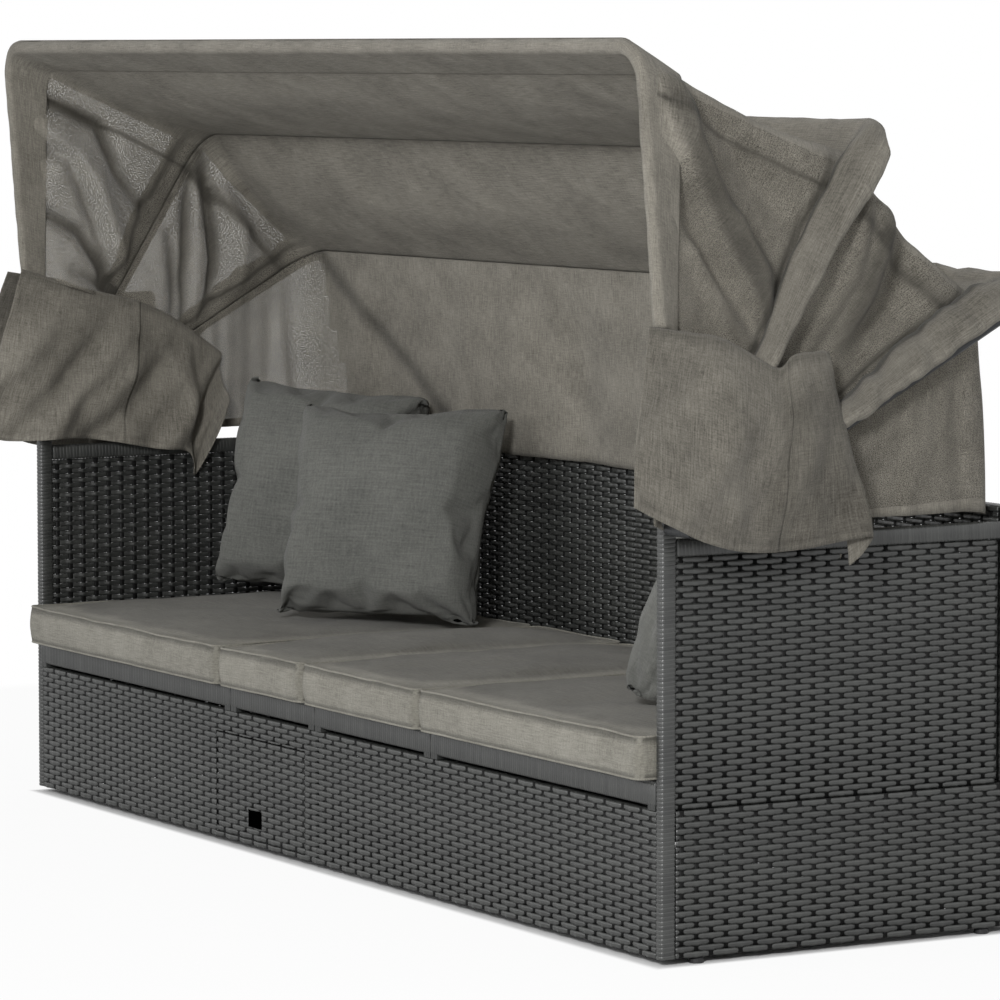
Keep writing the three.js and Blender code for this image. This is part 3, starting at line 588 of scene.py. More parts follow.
# back
for side, label in ((-1, "left"), (1, "right")):
    low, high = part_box(f"back_panel_{label}")
    piece = wovenPanel(
        f"back_weave_{label}", lambda u, w, out, y=low.y + 0.004: Vector((u, y - out, w)),
        low.x, high.x, low.z, high.z, seed=61 + side)
    onFrame(piece, "weave", f"back_panel_{label}")
    low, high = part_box(f"back_top_rail_{label}")
    middle = (low + high) / 2
    half = (high - low) / 2
    onFrame(woundTube(
        f"back_rail_wrap_{label}", (low.x, middle.y, middle.z), (high.x, middle.y, middle.z), (0, 1, 0),
        half.y, half.z, 0.0045, seed=63 + side), "wrap", f"back_top_rail_{label}")
    for node in (f"back_centre_stile_{label}", f"back_outer_stile_{label}"):
        low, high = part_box(node)
        middle = (low + high) / 2
        half = (high - low) / 2
        onFrame(woundTube(
            node.replace("stile", "stile_wrap"), (middle.x, middle.y, low.z), (middle.x, middle.y, high.z),
            (1, 0, 0), half.x, half.y, 0.0045, seed=65 + side), "wrap", node)
print("arms and back woven")

# seat decks: wound strand over their front tubes
for i in range(1, 5):
    low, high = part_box(f"seat_deck_{i}")
    deckBottom = low.z + 0.006
    z = (deckBottom + high.z) / 2
    onFrame(woundTube(
        f"deck_front_wrap_{i}", (low.x - 0.0005, low.y + 0.0125, z), (high.x + 0.0005, low.y + 0.0125, z), (0, 1, 0),
        0.0135, (high.z - deckBottom) / 2 + 0.0008, 0.006, seed=70 + i), "wrap")
print("seat decks wound")


# seat cushions
cushion = {
    "columns": 46,
    "rows": 40,
    "thickness": 68 * millimetre,
    "crown": 16 * millimetre,
    "cornerRadius": 17 * millimetre,
    "bulge": 5 * millimetre,
    "pipingRadius": 1.9 * millimetre,
}


def ribbonTube(name, points, radius, material, sides=6, closed=True):
    # a thin round cord swept along points
    curve = bpy.data.curves.new(name, "CURVE")
    curve.dimensions = "3D"
    curve.bevel_depth = radius
    curve.bevel_resolution = max(0, sides // 2 - 1)
    spline = curve.splines.new("POLY")
    spline.points.add(len(points) - 1)
    for point, co in zip(spline.points, points):
        point.co = (*co, 1)
    spline.use_cyclic_u = closed
    curve.use_fill_caps = not closed
    holder = bpy.data.objects.new(name, curve)
    bpy.context.scene.collection.objects.link(holder)
    graph = bpy.context.evaluated_depsgraph_get()
    mesh = bpy.data.meshes.new_from_object(holder.evaluated_get(graph))
    bpy.data.objects.remove(holder)
    for polygon in mesh.polygons:
        polygon.use_smooth = True
    uvLayer = mesh.uv_layers.new(name="UVMap") if not mesh.uv_layers else mesh.uv_layers[0]
    for loop in mesh.loops:
        co = mesh.vertices[loop.vertex_index].co
        uvLayer.data[loop.index].uv = (co.x + co.y, co.z + co.y)
    piece = bpy.data.objects.new(name, mesh)
    bpy.context.scene.collection.objects.link(piece)
    mesh.materials.clear()
    mesh.materials.append(looks[material])
    return piece


def cushionOutline(x0, x1, y0, y1, radius, perCorner=7, spacing=0.02):
    points = []
    corners = [(x1 - radius, y1 - radius, 0), (x0 + radius, y1 - radius, 90), (x0 + radius, y0 + radius, 180), (x1 - radius, y0 + radius, 270)]
    for i, (cx, cy, turn) in enumerate(corners):
        for step in range(perCorner + 1):
            angle = math.radians(turn + 90 * step / perCorner)
            points.append(Vector((cx + radius * math.cos(angle), cy + radius * math.sin(angle), 0)))
        nx, ny, nturn = corners[(i + 1) % 4]
        here = points[-1]
        there = Vector((nx + radius * math.cos(math.radians(nturn)), ny + radius * math.sin(math.radians(nturn)), 0))
        count = max(1, int((there - here).length / spacing))
        points += [here.lerp(there, k / count) for k in range(1, count)]
    return points


def seatCushion(index):
    low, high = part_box(f"seat_cushion_{index}")
    x0, x1, y0, y1 = low.x + cushion["bulge"] * 0.5, high.x - cushion["bulge"] * 0.5, low.y + 0.003, high.y - 0.003
    z0, thickness = low.z, cushion["thickness"]
    centre = Vector(((x0 + x1) / 2, (y0 + y1) / 2))
    halfX, halfY = (x1 - x0) / 2, (y1 - y0) / 2
    outline = cushionOutline(x0, x1, y0, y1, cushion["cornerRadius"])
    seed = index * 3.7

    def edgeLift(point):
        # the seams rise and fall a little along the run
        return 0.004 * rough((point.x, point.y, 0), 5, seed) + 0.0015 * rough((point.x, point.y, 1), 16, seed)

    seams = {}
    for name, z in (("bottom", z0 + 0.004), ("top", z0 + thickness)):
        seams[name] = [Vector((p.x, p.y, z + (edgeLift(p) if name == "top" else max(0, 0.4 * edgeLift(p))))) for p in outline]

    # side wall: rings between the two seams, fuller in the middle
    bm = bmesh.new()
    count = len(outline)
    layers = 14
    bmesh.ops.create_grid(bm, x_segments=count, y_segments=layers, size=0.5)
    setUv(bm, lambda co: ((co.x + 0.5) * count * 0.02, (co.y + 0.5) * thickness))
    for vert in bm.verts:
        i = round((vert.co.x + 0.5) * count) % count
        share = vert.co.y + 0.5
        here = seams["bottom"][i].lerp(seams["top"][i], share)
        before, after = outline[i - 1], outline[(i + 1) % count]
        outward = Vector((after.y - before.y, before.x - after.x, 0)).normalized()
        swell = cushion["bulge"] * math.sin(math.pi * share) * (1 + 0.5 * rough(here, 9, seed))
        pucker = 0.0012 * math.sin(i * 2.1 + seed) * (math.sin(math.pi * share) ** 2 - 1) * rough(here, 20, seed)
        vert.co = here + outward * (swell + pucker)
    bmesh.ops.remove_doubles(bm, verts=bm.verts, dist=1e-5)

    # top and bottom faces: grids pulled into the rounded outline
    for top in (True, False):
        made = bmesh.ops.create_grid(bm, x_segments=cushion["columns"], y_segments=cushion["rows"], size=0.5)["verts"]
        layer = bm.loops.layers.uv.verify()
        for face in {f for v in made for f in v.link_faces}:
            for loop in face.loops:
                loop[layer].uv = (loop.vert.co.x * 2 * halfX, loop.vert.co.y * 2 * halfY + 3)
        for vert in made:
            u, v = (math.copysign(1 - (1 - min(1, abs(s) * 2)) ** 1.6, s) for s in (vert.co.x, vert.co.y))
            px, py = abs(u) * halfX, abs(v) * halfY
            flatX, flatY = halfX - cushion["cornerRadius"], halfY - cushion["cornerRadius"]
            if px > flatX and py > flatY:
                corner = Vector((px - flatX, py - flatY))
                corner = corner.normalized() * max(corner)
                px, py = flatX + corner.x, flatY + corner.y
            x, y = centre.x + math.copysign(px, u), centre.y + math.copysign(py, v)
            edge = (1 - abs(u) ** 7) * (1 - abs(v) ** 7)
            if top:
                crown = cushion["crown"] * (1 - u ** 4) * (1 - v ** 4)
                dents = 0.006 * rough((x, y, 2), 6, seed) + 0.003 * rough((x, y, 4), 17, seed)
                dents -= 0.004 * math.exp(-((max(abs(u) * halfX - halfX + 0.02, abs(v) * halfY - halfY + 0.02)) / 0.012) ** 2)
                z = z0 + thickness + edgeLift(Vector((x, y, 0))) + crown + dents * edge
            else:
                z = z0 + 0.004 * (1 - edge) + (1 - edge) * max(0, 0.4 * edgeLift(Vector((x, y, 0))))
            vert.co = (x, y, z)
        if not top:
            bmesh.ops.reverse_faces(bm, faces=list({f for v in made for f in v.link_faces}))
    bm.normal_update()
    # painted shade: the whole top darker, a dark line just inside the top edge, and dark lines on the side wall beside
    # the top and bottom piping
    layer = bm.verts.layers.float.new("shade")
    for vert in bm.verts:
        x, y, z = vert.co.x, vert.co.y, vert.co.z - z0
        inside = min(halfX - abs(x - centre.x), halfY - abs(y - centre.y))
        top = smooth(thickness + 0.002, thickness + 0.006, z) if inside > 0.002 else 0
        wall = (z < thickness + 0.002 and inside < 0.001) * (smooth(0.055, 0.063, z) + 0.8 * (1 - smooth(0.008, 0.014, z)))
        vert[layer] = min(1, max(0, 0.62 * top + 0.4 * top * math.exp(-((inside - 0.006) / 0.004) ** 2) + 0.75 * wall))
    body = toObject(bm, f"cushion_{index}", "cushion")
    onFrame(body, "cushion_fabric", f"seat_cushion_{index}")
    for name in seams:
        cord = ribbonTube(f"cushion_{index}_piping_{name}", [p + Vector((0, 0, 0.0)) for p in seams[name]], cushion["pipingRadius"], "cushion")
        onFrame(cord, "cushion_fabric")
    return body


for index in range(1, 5):
    seatCushion(index)
print("cushions sewn")


# pillows
pillow = {
    "size": 0.412,
    "thickness": 0.104,
    "steps": 56,
    "air": {"pressure": 3.0, "bending": 0.15, "shrink": -0.04, "frames": 18, "reach": 0.030},
    "places": {
        "left": {"x": -0.762, "y": 0.383, "yaw": 30, "lean": 13, "roll": -3.6},
        "middle": {"x": -0.385, "y": 0.320, "yaw": 36, "lean": 19.4, "roll": 0},
        "right": {"x": 0.800, "y": 0.265, "yaw": -75, "lean": 24, "roll": 2},
    },
}


def puff(piece, settings):
    # inner pressure fills and wrinkles a closed cover; no point moves farther than the reach
    scene = bpy.context.scene
    cloth = piece.modifiers.new("air", "CLOTH")
    fabric = cloth.settings
    fabric.quality = 6
    fabric.mass = 0.25
    fabric.tension_stiffness = 18
    fabric.compression_stiffness = 18
    fabric.shear_stiffness = 6
    fabric.bending_stiffness = settings["bending"]
    fabric.use_pressure = True
    fabric.uniform_pressure_force = settings["pressure"]
    fabric.shrink_min = settings["shrink"]
    fabric.effector_weights.gravity = 0
    for step in range(1, settings["frames"] + 1):
        scene.frame_set(step)
    filled = piece.evaluated_get(bpy.context.evaluated_depsgraph_get()).to_mesh()
    moves = [there.co - here.co for there, here in zip(filled.vertices, piece.data.vertices)]
    piece.modifiers.remove(cloth)
    scene.frame_set(1)
    print(piece.name, "moved up to", round(max(move.length for move in moves), 4))
    for vert, move in zip(piece.data.vertices, moves):
        vert.co += move * min(1, settings["reach"] / max(move.length, 1e-9))


def pillowMesh(seed):
    half = pillow["size"] / 2
    bm = bmesh.new()
    for side in (1, -1):
        made = bmesh.ops.create_grid(bm, x_segments=pillow["steps"], y_segments=pillow["steps"], size=0.5)["verts"]
        layer = bm.loops.layers.uv.verify()
        faces = {f for v in made for f in v.link_faces}
        for face in faces:
            for loop in face.loops:
                loop[layer].uv = (loop.vert.co.x * 0.43, loop.vert.co.y * 0.43 + side)
        for vert in made:
            u, v = math.sin(vert.co.x * math.pi), math.sin(vert.co.y * math.pi)
            full = ((1 - u * u) * (1 - v * v)) ** 0.42
            x = u * half + math.copysign(0.005 * (1 - v * v) * abs(u), u)
            z = v * half + math.copysign(0.005 * (1 - u * u) * abs(v), v)
            corner = (abs(u) * abs(v)) ** 3
            crease = 0.006 * rough((x, z, side), 12, seed) + 0.0025 * rough((x, z, side), 30, seed)
            pull = 0.004 * math.sin(14 * math.atan2(abs(z) + 1e-6, abs(x) + 1e-6)) * smooth(0.4, 0.9, max(abs(u), abs(v)))
            y = -side * (0.0015 + (pillow["thickness"] / 2 - 0.0015) * full + (crease + pull) * (1 - max(abs(u), abs(v)) ** 6) * (0.4 + 0.6 * corner))
            vert.co = (x, y, z)
        if side < 0:
            bmesh.ops.reverse_faces(bm, faces=list(faces))
    bmesh.ops.remove_doubles(bm, verts=bm.verts, dist=0.0032)
    bmesh.ops.recalc_face_normals(bm, faces=bm.faces)
    return bm


for name, at in pillow["places"].items():
    piece = toObject(pillowMesh(len(name) * 1.7), f"pillow_cover_{name}", "pillow")
    puff(piece, pillow["air"])
    turn = (Matrix.Rotation(math.radians(at["yaw"]), 4, "Z") @ Matrix.Rotation(math.radians(-at["lean"]), 4, "X")
            @ Matrix.Rotation(math.radians(-at["roll"]), 4, "Y"))
    up = turn @ Vector((0, 0, pillow["size"] / 2))
    low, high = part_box(f"pillow_{name}")
    piece.data.transform(Matrix.Translation((at["x"] + up.x, frontY + at["y"] + up.y, 0)) @ turn)
    piece.data.transform(Matrix.Translation((0, 0, low.z - min(v.co.z for v in piece.data.vertices))))
    refine(piece)
    onFrame(piece, "pillow_fabric", f"pillow_{name}")
print("pillows stuffed")


# canopy: one sheet from the front hoop over the seams under the other two hoops to its back hem
pivot = Vector((0, frontY + 0.0135, 0.655))
hoops = {
    "front": {"reach": 0.711, "angle": 94.6, "half": 1.09615},
    "middle": {"reach": 0.690, "angle": 58.4, "half": 1.11815},
    "rear": {"reach": 0.688, "angle": 28.3, "half": 1.14015},
}
seams = {
    "front": {"reach": 0.7235, "angle": 94.6, "half": 1.1060, "start": 0.297},
    "middle": {"reach": 0.645, "angle": 58.4, "half": 1.0980, "start": 0.284},
    "rear": {"reach": 0.655, "angle": 30.2, "half": 1.0980, "start": 0.320},
}
canopy = {
    "hoopCorner": 0.055,
    "bendX": 0.0649,
    "bendReach": 0.0675,
    "thickness": 0.0012,
    "sideSteps": 56,
    "bendSteps": 10,
    "roofSteps": 84,
    "rows": 48,
}
columnCount = 2 * (canopy["sideSteps"] + canopy["bendSteps"]) + canopy["roofSteps"]


def fanPoint(reach, angle, x):
    turn = math.radians(angle)
    return Vector((x, pivot.y + reach * math.cos(turn), pivot.z + reach * math.sin(turn)))


def fanDirection(angle):
    return fanPoint(1, angle, 0) - pivot


def fanAcross(angle):
    return fanDirection(angle - 90)


def seamPoint(hoop, share):
    # a place on the sheet along a hoop, from the left side's lower end (0) to the right's (1)
    at = seams[hoop]
    step = share * columnCount
    side = -1 if step < columnCount / 2 else 1
    fromEnd = min(step, columnCount - step)
    along = lerp(at["start"], at["reach"] - canopy["bendReach"], min(1, fromEnd / canopy["sideSteps"]))
    turn = min(1, max(0, (fromEnd - canopy["sideSteps"]) / canopy["bendSteps"])) * math.pi / 2
    across = max(0, fromEnd - canopy["sideSteps"] - canopy["bendSteps"]) / (canopy["roofSteps"] / 2)
    x = (at["half"] - canopy["bendX"]) * (1 - across) + canopy["bendX"] * math.cos(turn)
    return fanPoint(along + canopy["bendReach"] * math.sin(turn), at["angle"], side * x)


def hoopPath(hoop, share):
    # the place on a hoop's centre line that belongs to a place on its seam
    at, seam = hoops[hoop], seams[hoop]
    step = share * columnCount
    side = -1 if step < columnCount / 2 else 1
    fromEnd = min(step, columnCount - step)
    up = min(1, fromEnd / canopy["sideSteps"])
    seamTop, hoopTop = seam["reach"] - canopy["bendReach"], at["reach"] - canopy["hoopCorner"]
    along = lerp(seam["start"], seamTop, up) + (hoopTop - seamTop) * smooth(0.7, 1, up)
    turn = min(1, max(0, (fromEnd - canopy["sideSteps"]) / canopy["bendSteps"])) * math.pi / 2
    across = max(0, fromEnd - canopy["sideSteps"] - canopy["bendSteps"]) / (canopy["roofSteps"] / 2)
    x = (at["half"] - canopy["hoopCorner"]) * (1 - across) + canopy["hoopCorner"] * math.cos(turn)
    return fanPoint(along + canopy["hoopCorner"] * math.sin(turn), at["angle"], side * x)


def roofShare(share):
    fromEnd = min(share, 1 - share) * columnCount
    return smooth(canopy["sideSteps"], canopy["sideSteps"] + canopy["bendSteps"], fromEnd)


def trueShare(share):
    # how far along the cloth, from 0 to 1, a share of the columns lies
    fromEnd = min(share, 1 - share) * columnCount
    lengths = (0.36, 0.10, 1.03)
    steps = (canopy["sideSteps"], canopy["bendSteps"], canopy["roofSteps"] / 2)
    total = 0
    for length, count in zip(lengths, steps):
        total += length * min(1, max(0, fromEnd / count))
        fromEnd -= count
    half = 0.5 * total / sum(lengths)
    return half if share < 0.5 else 1 - half


# creases of the sides: depth, width, and the line that each follows in y and z from the front face
creases = {
    "front": {
        1: [
            (-0.020, 0.018, [(-0.003, 1.328), (0.035, 1.286), (0.065, 1.251), (0.116, 1.203)]),
            (-0.034, 0.022, [(0.001, 1.304), (0.036, 1.226), (0.065, 1.176), (0.116, 1.108), (0.167, 1.029)]),
            (-0.026, 0.016, [(0.116, 1.108), (0.167, 1.029), (0.182, 0.946), (0.186, 0.892)]),
            (-0.020, 0.016, [(0.060, 1.060), (0.103, 0.992), (0.134, 0.937), (0.182, 0.892)]),
            (0.020, 0.030, [(0.018, 1.322), (0.105, 1.235), (0.193, 1.150), (0.250, 1.090)]),
            (0.016, 0.024, [(0.020, 1.200), (0.060, 1.110), (0.110, 1.020), (0.150, 0.950)]),
        ],
        -1: [
            (-0.022, 0.017, [(-0.010, 1.270), (0.055, 1.256), (0.132, 1.222), (0.172, 1.134), (0.266, 1.031)]),
            (-0.024, 0.016, [(-0.010, 1.200), (0.070, 1.161), (0.120, 1.048), (0.187, 0.888)]),
            (-0.020, 0.014, [(-0.010, 1.080), (0.090, 1.028), (0.140, 0.952), (0.187, 0.881)]),
            (0.018, 0.028, [(0.020, 1.220), (0.110, 1.120), (0.160, 1.010), (0.200, 0.930)]),
            (-0.014, 0.012, [(0.080, 0.960), (0.130, 0.930), (0.187, 0.885)]),
        ],
    },
    "middle": {
        1: [
            (-0.026, 0.022, [(0.399, 1.112), (0.355, 0.986), (0.302, 0.910)]),
            (0.016, 0.024, [(0.450, 1.080), (0.420, 0.990), (0.340, 0.900)]),
            (-0.014, 0.016, [(0.360, 1.160), (0.330, 1.020), (0.250, 0.900)]),
        ],
        -1: [
            (-0.026, 0.016, [(0.340, 1.170), (0.356, 1.115), (0.376, 0.969), (0.360, 0.869)]),
            (-0.026, 0.015, [(0.370, 1.190), (0.385, 1.169), (0.445, 1.086), (0.530, 0.989)]),
            (-0.020, 0.013, [(0.320, 1.130), (0.314, 1.056), (0.307, 0.939), (0.312, 0.822)]),
            (-0.016, 0.012, [(0.282, 1.020), (0.282, 0.953), (0.285, 0.841)]),
            (0.016, 0.022, [(0.370, 1.120), (0.420, 1.030), (0.430, 0.930)]),
        ],
    },
}


def creaseMove(point, lines):
    # how far the creases push a point of a side outwards
    here = Vector((point.y - frontY, point.z))
    total = 0.0
    for depth, width, line in lines:
        best, taper = 1.0, 0.0
        count = len(line) - 1
        for i in range(count):
            start, end = Vector(line[i]), Vector(line[i + 1])
            share = min(1, max(0, (here - start).dot(end - start) / (end - start).length_squared))
            away = (here - start.lerp(end, share)).length
            if away < best:
                along = (i + share) / count
                best, taper = away, 0.35 + 0.65 * math.sin(math.pi * min(1, along * 0.8 + 0.15))
        total += depth * taper * math.exp(-(best / width) ** 2)
    return total


sleeves = {
    "front": {"body": "front_canopy", "node": None, "sideBand": 0.19, "roofBand": 0.22, "wrinkle": 0.0015, "flat": (3.4, 0.26)},
    "middle": {"body": "middle_canopy", "node": "canopy_fin_middle", "band": 0.042, "wrinkle": 0.003, "flat": (3.4, 0.24)},
    "rear": {"body": "rear_canopy", "node": "canopy_fin_rear", "band": 0.034, "wrinkle": 0.009, "flat": (3.4, 0.24)},
}
# the last entry of each span is the width, in columns, of the painted shade along the roof-side seam
spans = {
    "front": {"far": "middle", "sag": 0.024, "sideSink": 0.030, "flat": (3.30, 0.47), "seed": 1.3, "seamShadeWidth": 0.8},
    "middle": {"far": "rear", "sag": 0.022, "sideSink": 0.020, "flat": (3.18, 0.37), "seed": 4.1, "seamShadeWidth": 2.0},
}


def spanPlace(near, u, v):
    settings = spans[near]
    far = settings["far"]
    nearPoint, farPoint = seamPoint(near, u), seamPoint(far, u)
    point = nearPoint.lerp(farPoint, v)
    belly = math.sin(math.pi * v)
    roof = roofShare(u)
    turn = math.radians(lerp(seams[near]["angle"], seams[far]["angle"], v))
    sag = settings["sag"] * belly * roof * (1 - 0.35 * (2 * u - 1) ** 2)
    point.y -= sag * math.cos(turn)
    point.z -= sag * math.sin(turn)
    side = -1 if u < 0.5 else 1
    point.x -= side * settings["sideSink"] * belly * (1 - roof)
    return point


def layCloth(bm, shares, flat, turned=False):
    # metres on the flat cloth from the shares of its two directions
    layer = bm.loops.layers.uv.verify()
    for face in bm.faces:
        for loop in face.loops:
            u, v = shares[loop.vert.index]
            place = (trueShare(u) * flat[0], v * flat[1])
            loop[layer].uv = place[::-1] if turned else place


def clothPiece(bm, name, shares=None, sides=None):
    # cuts the see-through sides out of the opaque roof where a rule says so
    piece = toObject(bm, name, "canopy")
    if sides:
        piece.data.materials.append(looks["canopySide"])
        for polygon in piece.data.polygons:
            corners = [shares[i] for i in polygon.vertices]
            polygon.material_index = int(sides(*(sum(corner[i] for corner in corners) / len(corners) for i in (0, 1))))
    thicken(piece, canopy["thickness"])
    return piece


def spanPiece(near):
    settings = spans[near]
    far = settings["far"]
    width, length = settings["flat"]
    bm, shares = shapedGrid(columnCount, canopy["rows"], lambda u, v: spanPlace(near, u, v), settings["flat"])

    def folds(u, v, co):
        roof = roofShare(u)
        side = -1 if u < 0.5 else 1
        hem = min(1, math.sin(math.pi * min(1, max(0, v))) * 2.2)
        onSide = 1.25 * creaseMove(co, creases[near][side])
        onSide += 0.008 * rough((co.x * 0.2, co.y, co.z), 8, settings["seed"] + side)
        onSide += 0.005 * abs(rough((co.x * 0.2, co.y * 1.4, co.z), 13, settings["seed"] + 2 * side))
        onSide += 0.0022 * rough((co.x * 0.2, co.y, co.z), 30, settings["seed"] - side)
        nearCorner = math.exp(-((1 - abs(2 * u - 1)) / 0.22) ** 2)
        ripples = 0.005 * rough((co.x * 2.2, co.y, co.z), 5, settings["seed"])
        ripples += 0.0012 * rough((co.x * 1.2, co.y * 2, co.z), 22, settings["seed"])
        radial = 0.010 * nearCorner * math.sin(8 * math.atan2(v + 0.05, (1 - abs(2 * u - 1)) * 3 + 0.02) + side)
        return hem * (onSide * (1 - roof) + (ripples + radial) * roof)

    # painted shade: darker at the bottoms of the side creases, in a band along the roof-side seam, along both hem lines
    # and in a line at the slot under the next sleeve's open edge
    def shade(u, v, co):
        side = -1 if u < 0.5 else 1
        fromEnd = min(u, 1 - u) * columnCount
        valleyShade = smooth(0.006, 0.022, -creaseMove(co, creases[near][side])) * (1 - roofShare(u))
        corner = math.exp(-((fromEnd - canopy["sideSteps"] + 1) / settings["seamShadeWidth"]) ** 2)
        hemShade = math.exp(-(v / 0.03) ** 2) + math.exp(-((1 - v) / 0.03) ** 2)
        band = sleeves[far]["band"] * lerp(0.45, 1, smooth(0, 0.16, min(u, 1 - u)))
        slot = 1 - (band + 0.003) / (length * lerp(0.45, 1.0, min(1, fromEnd / canopy["sideSteps"])))
        slitShade = math.exp(-((v - slot) / 0.022) ** 2) * (1 - roofShare(u))
        return 0.75 * valleyShade + 0.7 * corner + 0.35 * hemShade + 0.9 * slitShade

    addShade(bm, shares, shade)
    relief(bm, shares, lambda u, v, co: -folds(u, v, co))
    bmesh.ops.reverse_faces(bm, faces=bm.faces)
    band = 0.085 / length if near == "front" else 0
    layCloth(bm, shares, settings["flat"])
    piece = clothPiece(bm, f"canopy_{near}_cloth", shares, lambda u, v: roofShare(u) < 0.3 and v > band)
    start = pivot + fanDirection(seams[near]["angle"]) * 0.4
    reach = seams[far]["start"] * math.sin(math.radians(seams[near]["angle"] - seams[far]["angle"]))
    start + fanAcross(seams[near]["angle"]) * reach
    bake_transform(piece)
    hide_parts(f"canopy_{near}")


spanPiece("front")
spanPiece("middle")
print("canopy spans laid")

def splinePoint(points, share):
    # a smooth line through places at even shares
    count = len(points) - 1
    i = min(count - 1, int(share * count))
    k = share * count - i
    p0, p1, p2, p3 = (Vector(points[min(count, max(0, j))]) for j in (i - 1, i, i + 1, i + 2))
    return 0.5 * (2 * p1 + (p2 - p0) * k + (2 * p0 - 5 * p1 + 4 * p2 - p3) * k ** 2 + (3 * p1 - p0 - 3 * p2 + p3) * k ** 3)


# sleeves: a pocket round each hoop; on the roof a fin over it, at the sides a flat band with an open edge
sleeveRadius = 0.0104
sleeveTuck = 0.035


def sleeveSection(roof, height, band, bend):
    # round the tube, from the rear root to the front one: places behind the hoop's plane and above the sheet
    r = sleeveRadius * bend
    onRoof = [(0.0016, 0), (0.006, 0.45 * height), (0.95 * r, height - 0.004), (0.75 * r, height + 0.7 * r), (0, height + r),
              (-0.75 * r, height + 0.7 * r), (-0.95 * r, height - 0.004), (-0.009, 0.6 * height), (-0.005, 0.3 * height), (-0.0016, 0)]
    onSide = [(0.013, 0.001), (0.015, 0.5 * height), (1.2 * r, height + 0.4 * r), (0.3 * r, height + 1.12 * r), (-0.4 * band, height + 0.75 * r),
              (-0.8 * band, height + 0.1 * r), (-band, 0.6 * height), (-0.9 * band, 0.35 * height), (-0.4 * band, 0.20 * height), (-0.006, 0.001)]
    return [Vector(a).lerp(Vector(b), roof) for a, b in zip(onSide, onRoof)]


def sleevePiece(hoop):
    at = sleeves[hoop]
    fin = at["node"] is not None

    def place(u, v):
        roof = roofShare(u)
        if fin:
            here = seamPoint(hoop, u)
        else:
            here = spanPlace("front", u, lerp(at["sideBand"], at["roofBand"], roof))
        centre = hoopPath(hoop, u)
        if fin:
            across = fanAcross(hoops[hoop]["angle"])
            away = (centre - here - across * (centre - here).dot(across)).normalized()
        else:
            away = (centre - here).normalized()
            across = (hoopPath(hoop, min(1, u + 0.002)) - hoopPath(hoop, max(0, u - 0.002))).cross(away).normalized()
        if fin:
            along = (hoopPath(hoop, min(1, u + 0.002)) - hoopPath(hoop, max(0, u - 0.002))).normalized()
            bend = 1.04 / max(0.5, math.sqrt(1 - along.dot(away) ** 2))
            narrow = lerp(0.45, 1, smooth(0, 0.16, min(u, 1 - u)))
            behind, above = splinePoint(sleeveSection(roof, (centre - here).length, at["band"] * narrow, bend), v)
            tuck = sleeveTuck * (1 - smooth(0, 0.02, min(u, 1 - u)))
            return here + across * behind + away * above - fanDirection(hoops[hoop]["angle"]) * tuck
        if v < 0.35:
            share = smooth(0, 1, v / 0.35) * 0.4 + v / 0.35 * 0.6
            return (here + across * 0.0016).lerp(centre + across * sleeveRadius, share)
        if v > 0.65:
            share = smooth(0, 1, (1 - v) / 0.35) * 0.4 + (1 - v) / 0.35 * 0.6
            return (here - across * 0.0016).lerp(centre - across * sleeveRadius, share)
        swing = (v - 0.35) / 0.3 * math.pi
        return centre + across * (sleeveRadius * math.cos(swing)) + away * (sleeveRadius * math.sin(swing))

    def wrinkles(u, v, co):
        # only outwards, away from the tube
        stretched = (co.x * 0.7, co.y * 1.4, co.z * 1.4)
        loose = math.sin(math.pi * min(1, max(0, v))) ** 0.5
        return loose * at["wrinkle"] * (0.3 + rough(stretched, 22, 5) + 0.8 * abs(rough(stretched, 10, 9)) + 0.35 * rough(co, 45, 2))

    bm, shares = shapedGrid(columnCount, 44, place)
    layCloth(bm, shares, at["flat"])
    top = max((vert for vert in bm.verts if abs(vert.co.x) < 0.02), key=lambda vert: (vert.co - pivot).length)
    outward = 1 if top.normal.dot(top.co - pivot) > 0 else -1
    relief(bm, shares, lambda u, v, co: outward * wrinkles(u, v, co))
    if fin:
        # painted shade, on the sides only: the band in front of the tube darker, most towards its open edge
        addShade(bm, shares, lambda u, v, co: (1 - roofShare(u)) * (0.9 * smooth(0.62, 0.68, v) + 0.35 * smooth(0.3, 0.42, v)))
    piece = toObject(bm, f"canopy_sleeve_{hoop}", "canopy")
    thicken(piece, 0.0008, 1.0)
    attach(piece, at["body"])
    if fin:
        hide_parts(at["node"])


for hoop in hoops:
    sleevePiece(hoop)
print("sleeves sewn")

# curtain behind the rear seam, outside the arms at the sides and inside the back
curtain = {
    "hemZ": 0.646,
    "sideHemZ": 0.657,
    "backY": 0.6015,
    "cornerRadius": 0.060,
    "sideHalf": 1.0980,
    "flat": (3.20, 0.46),
    "rows": 44,
}


def curtainPlace(u, v):
    top = seamPoint("rear", u)
    half = curtain["sideHalf"]
    backY = frontY + curtain["backY"]
    side = -1 if u < 0.5 else 1
    roof = roofShare(u)
    bottomY = lerp(min(top.y + 0.02, backY), backY, roof)
    bottom = Vector((side * min(abs(top.x), half), bottomY, lerp(curtain["sideHemZ"], curtain["hemZ"], roof)))
    corner = Vector((abs(bottom.x) - (half - curtain["cornerRadius"]), bottom.y - (backY - curtain["cornerRadius"])))
    if corner.x > 0 and corner.y > 0 and corner.length > curtain["cornerRadius"]:
        corner = corner.normalized() * curtain["cornerRadius"]
        bottom.x = side * (half - curtain["cornerRadius"] + corner.x)
        bottom.y = backY - curtain["cornerRadius"] + corner.y
    return top.lerp(bottom, v)


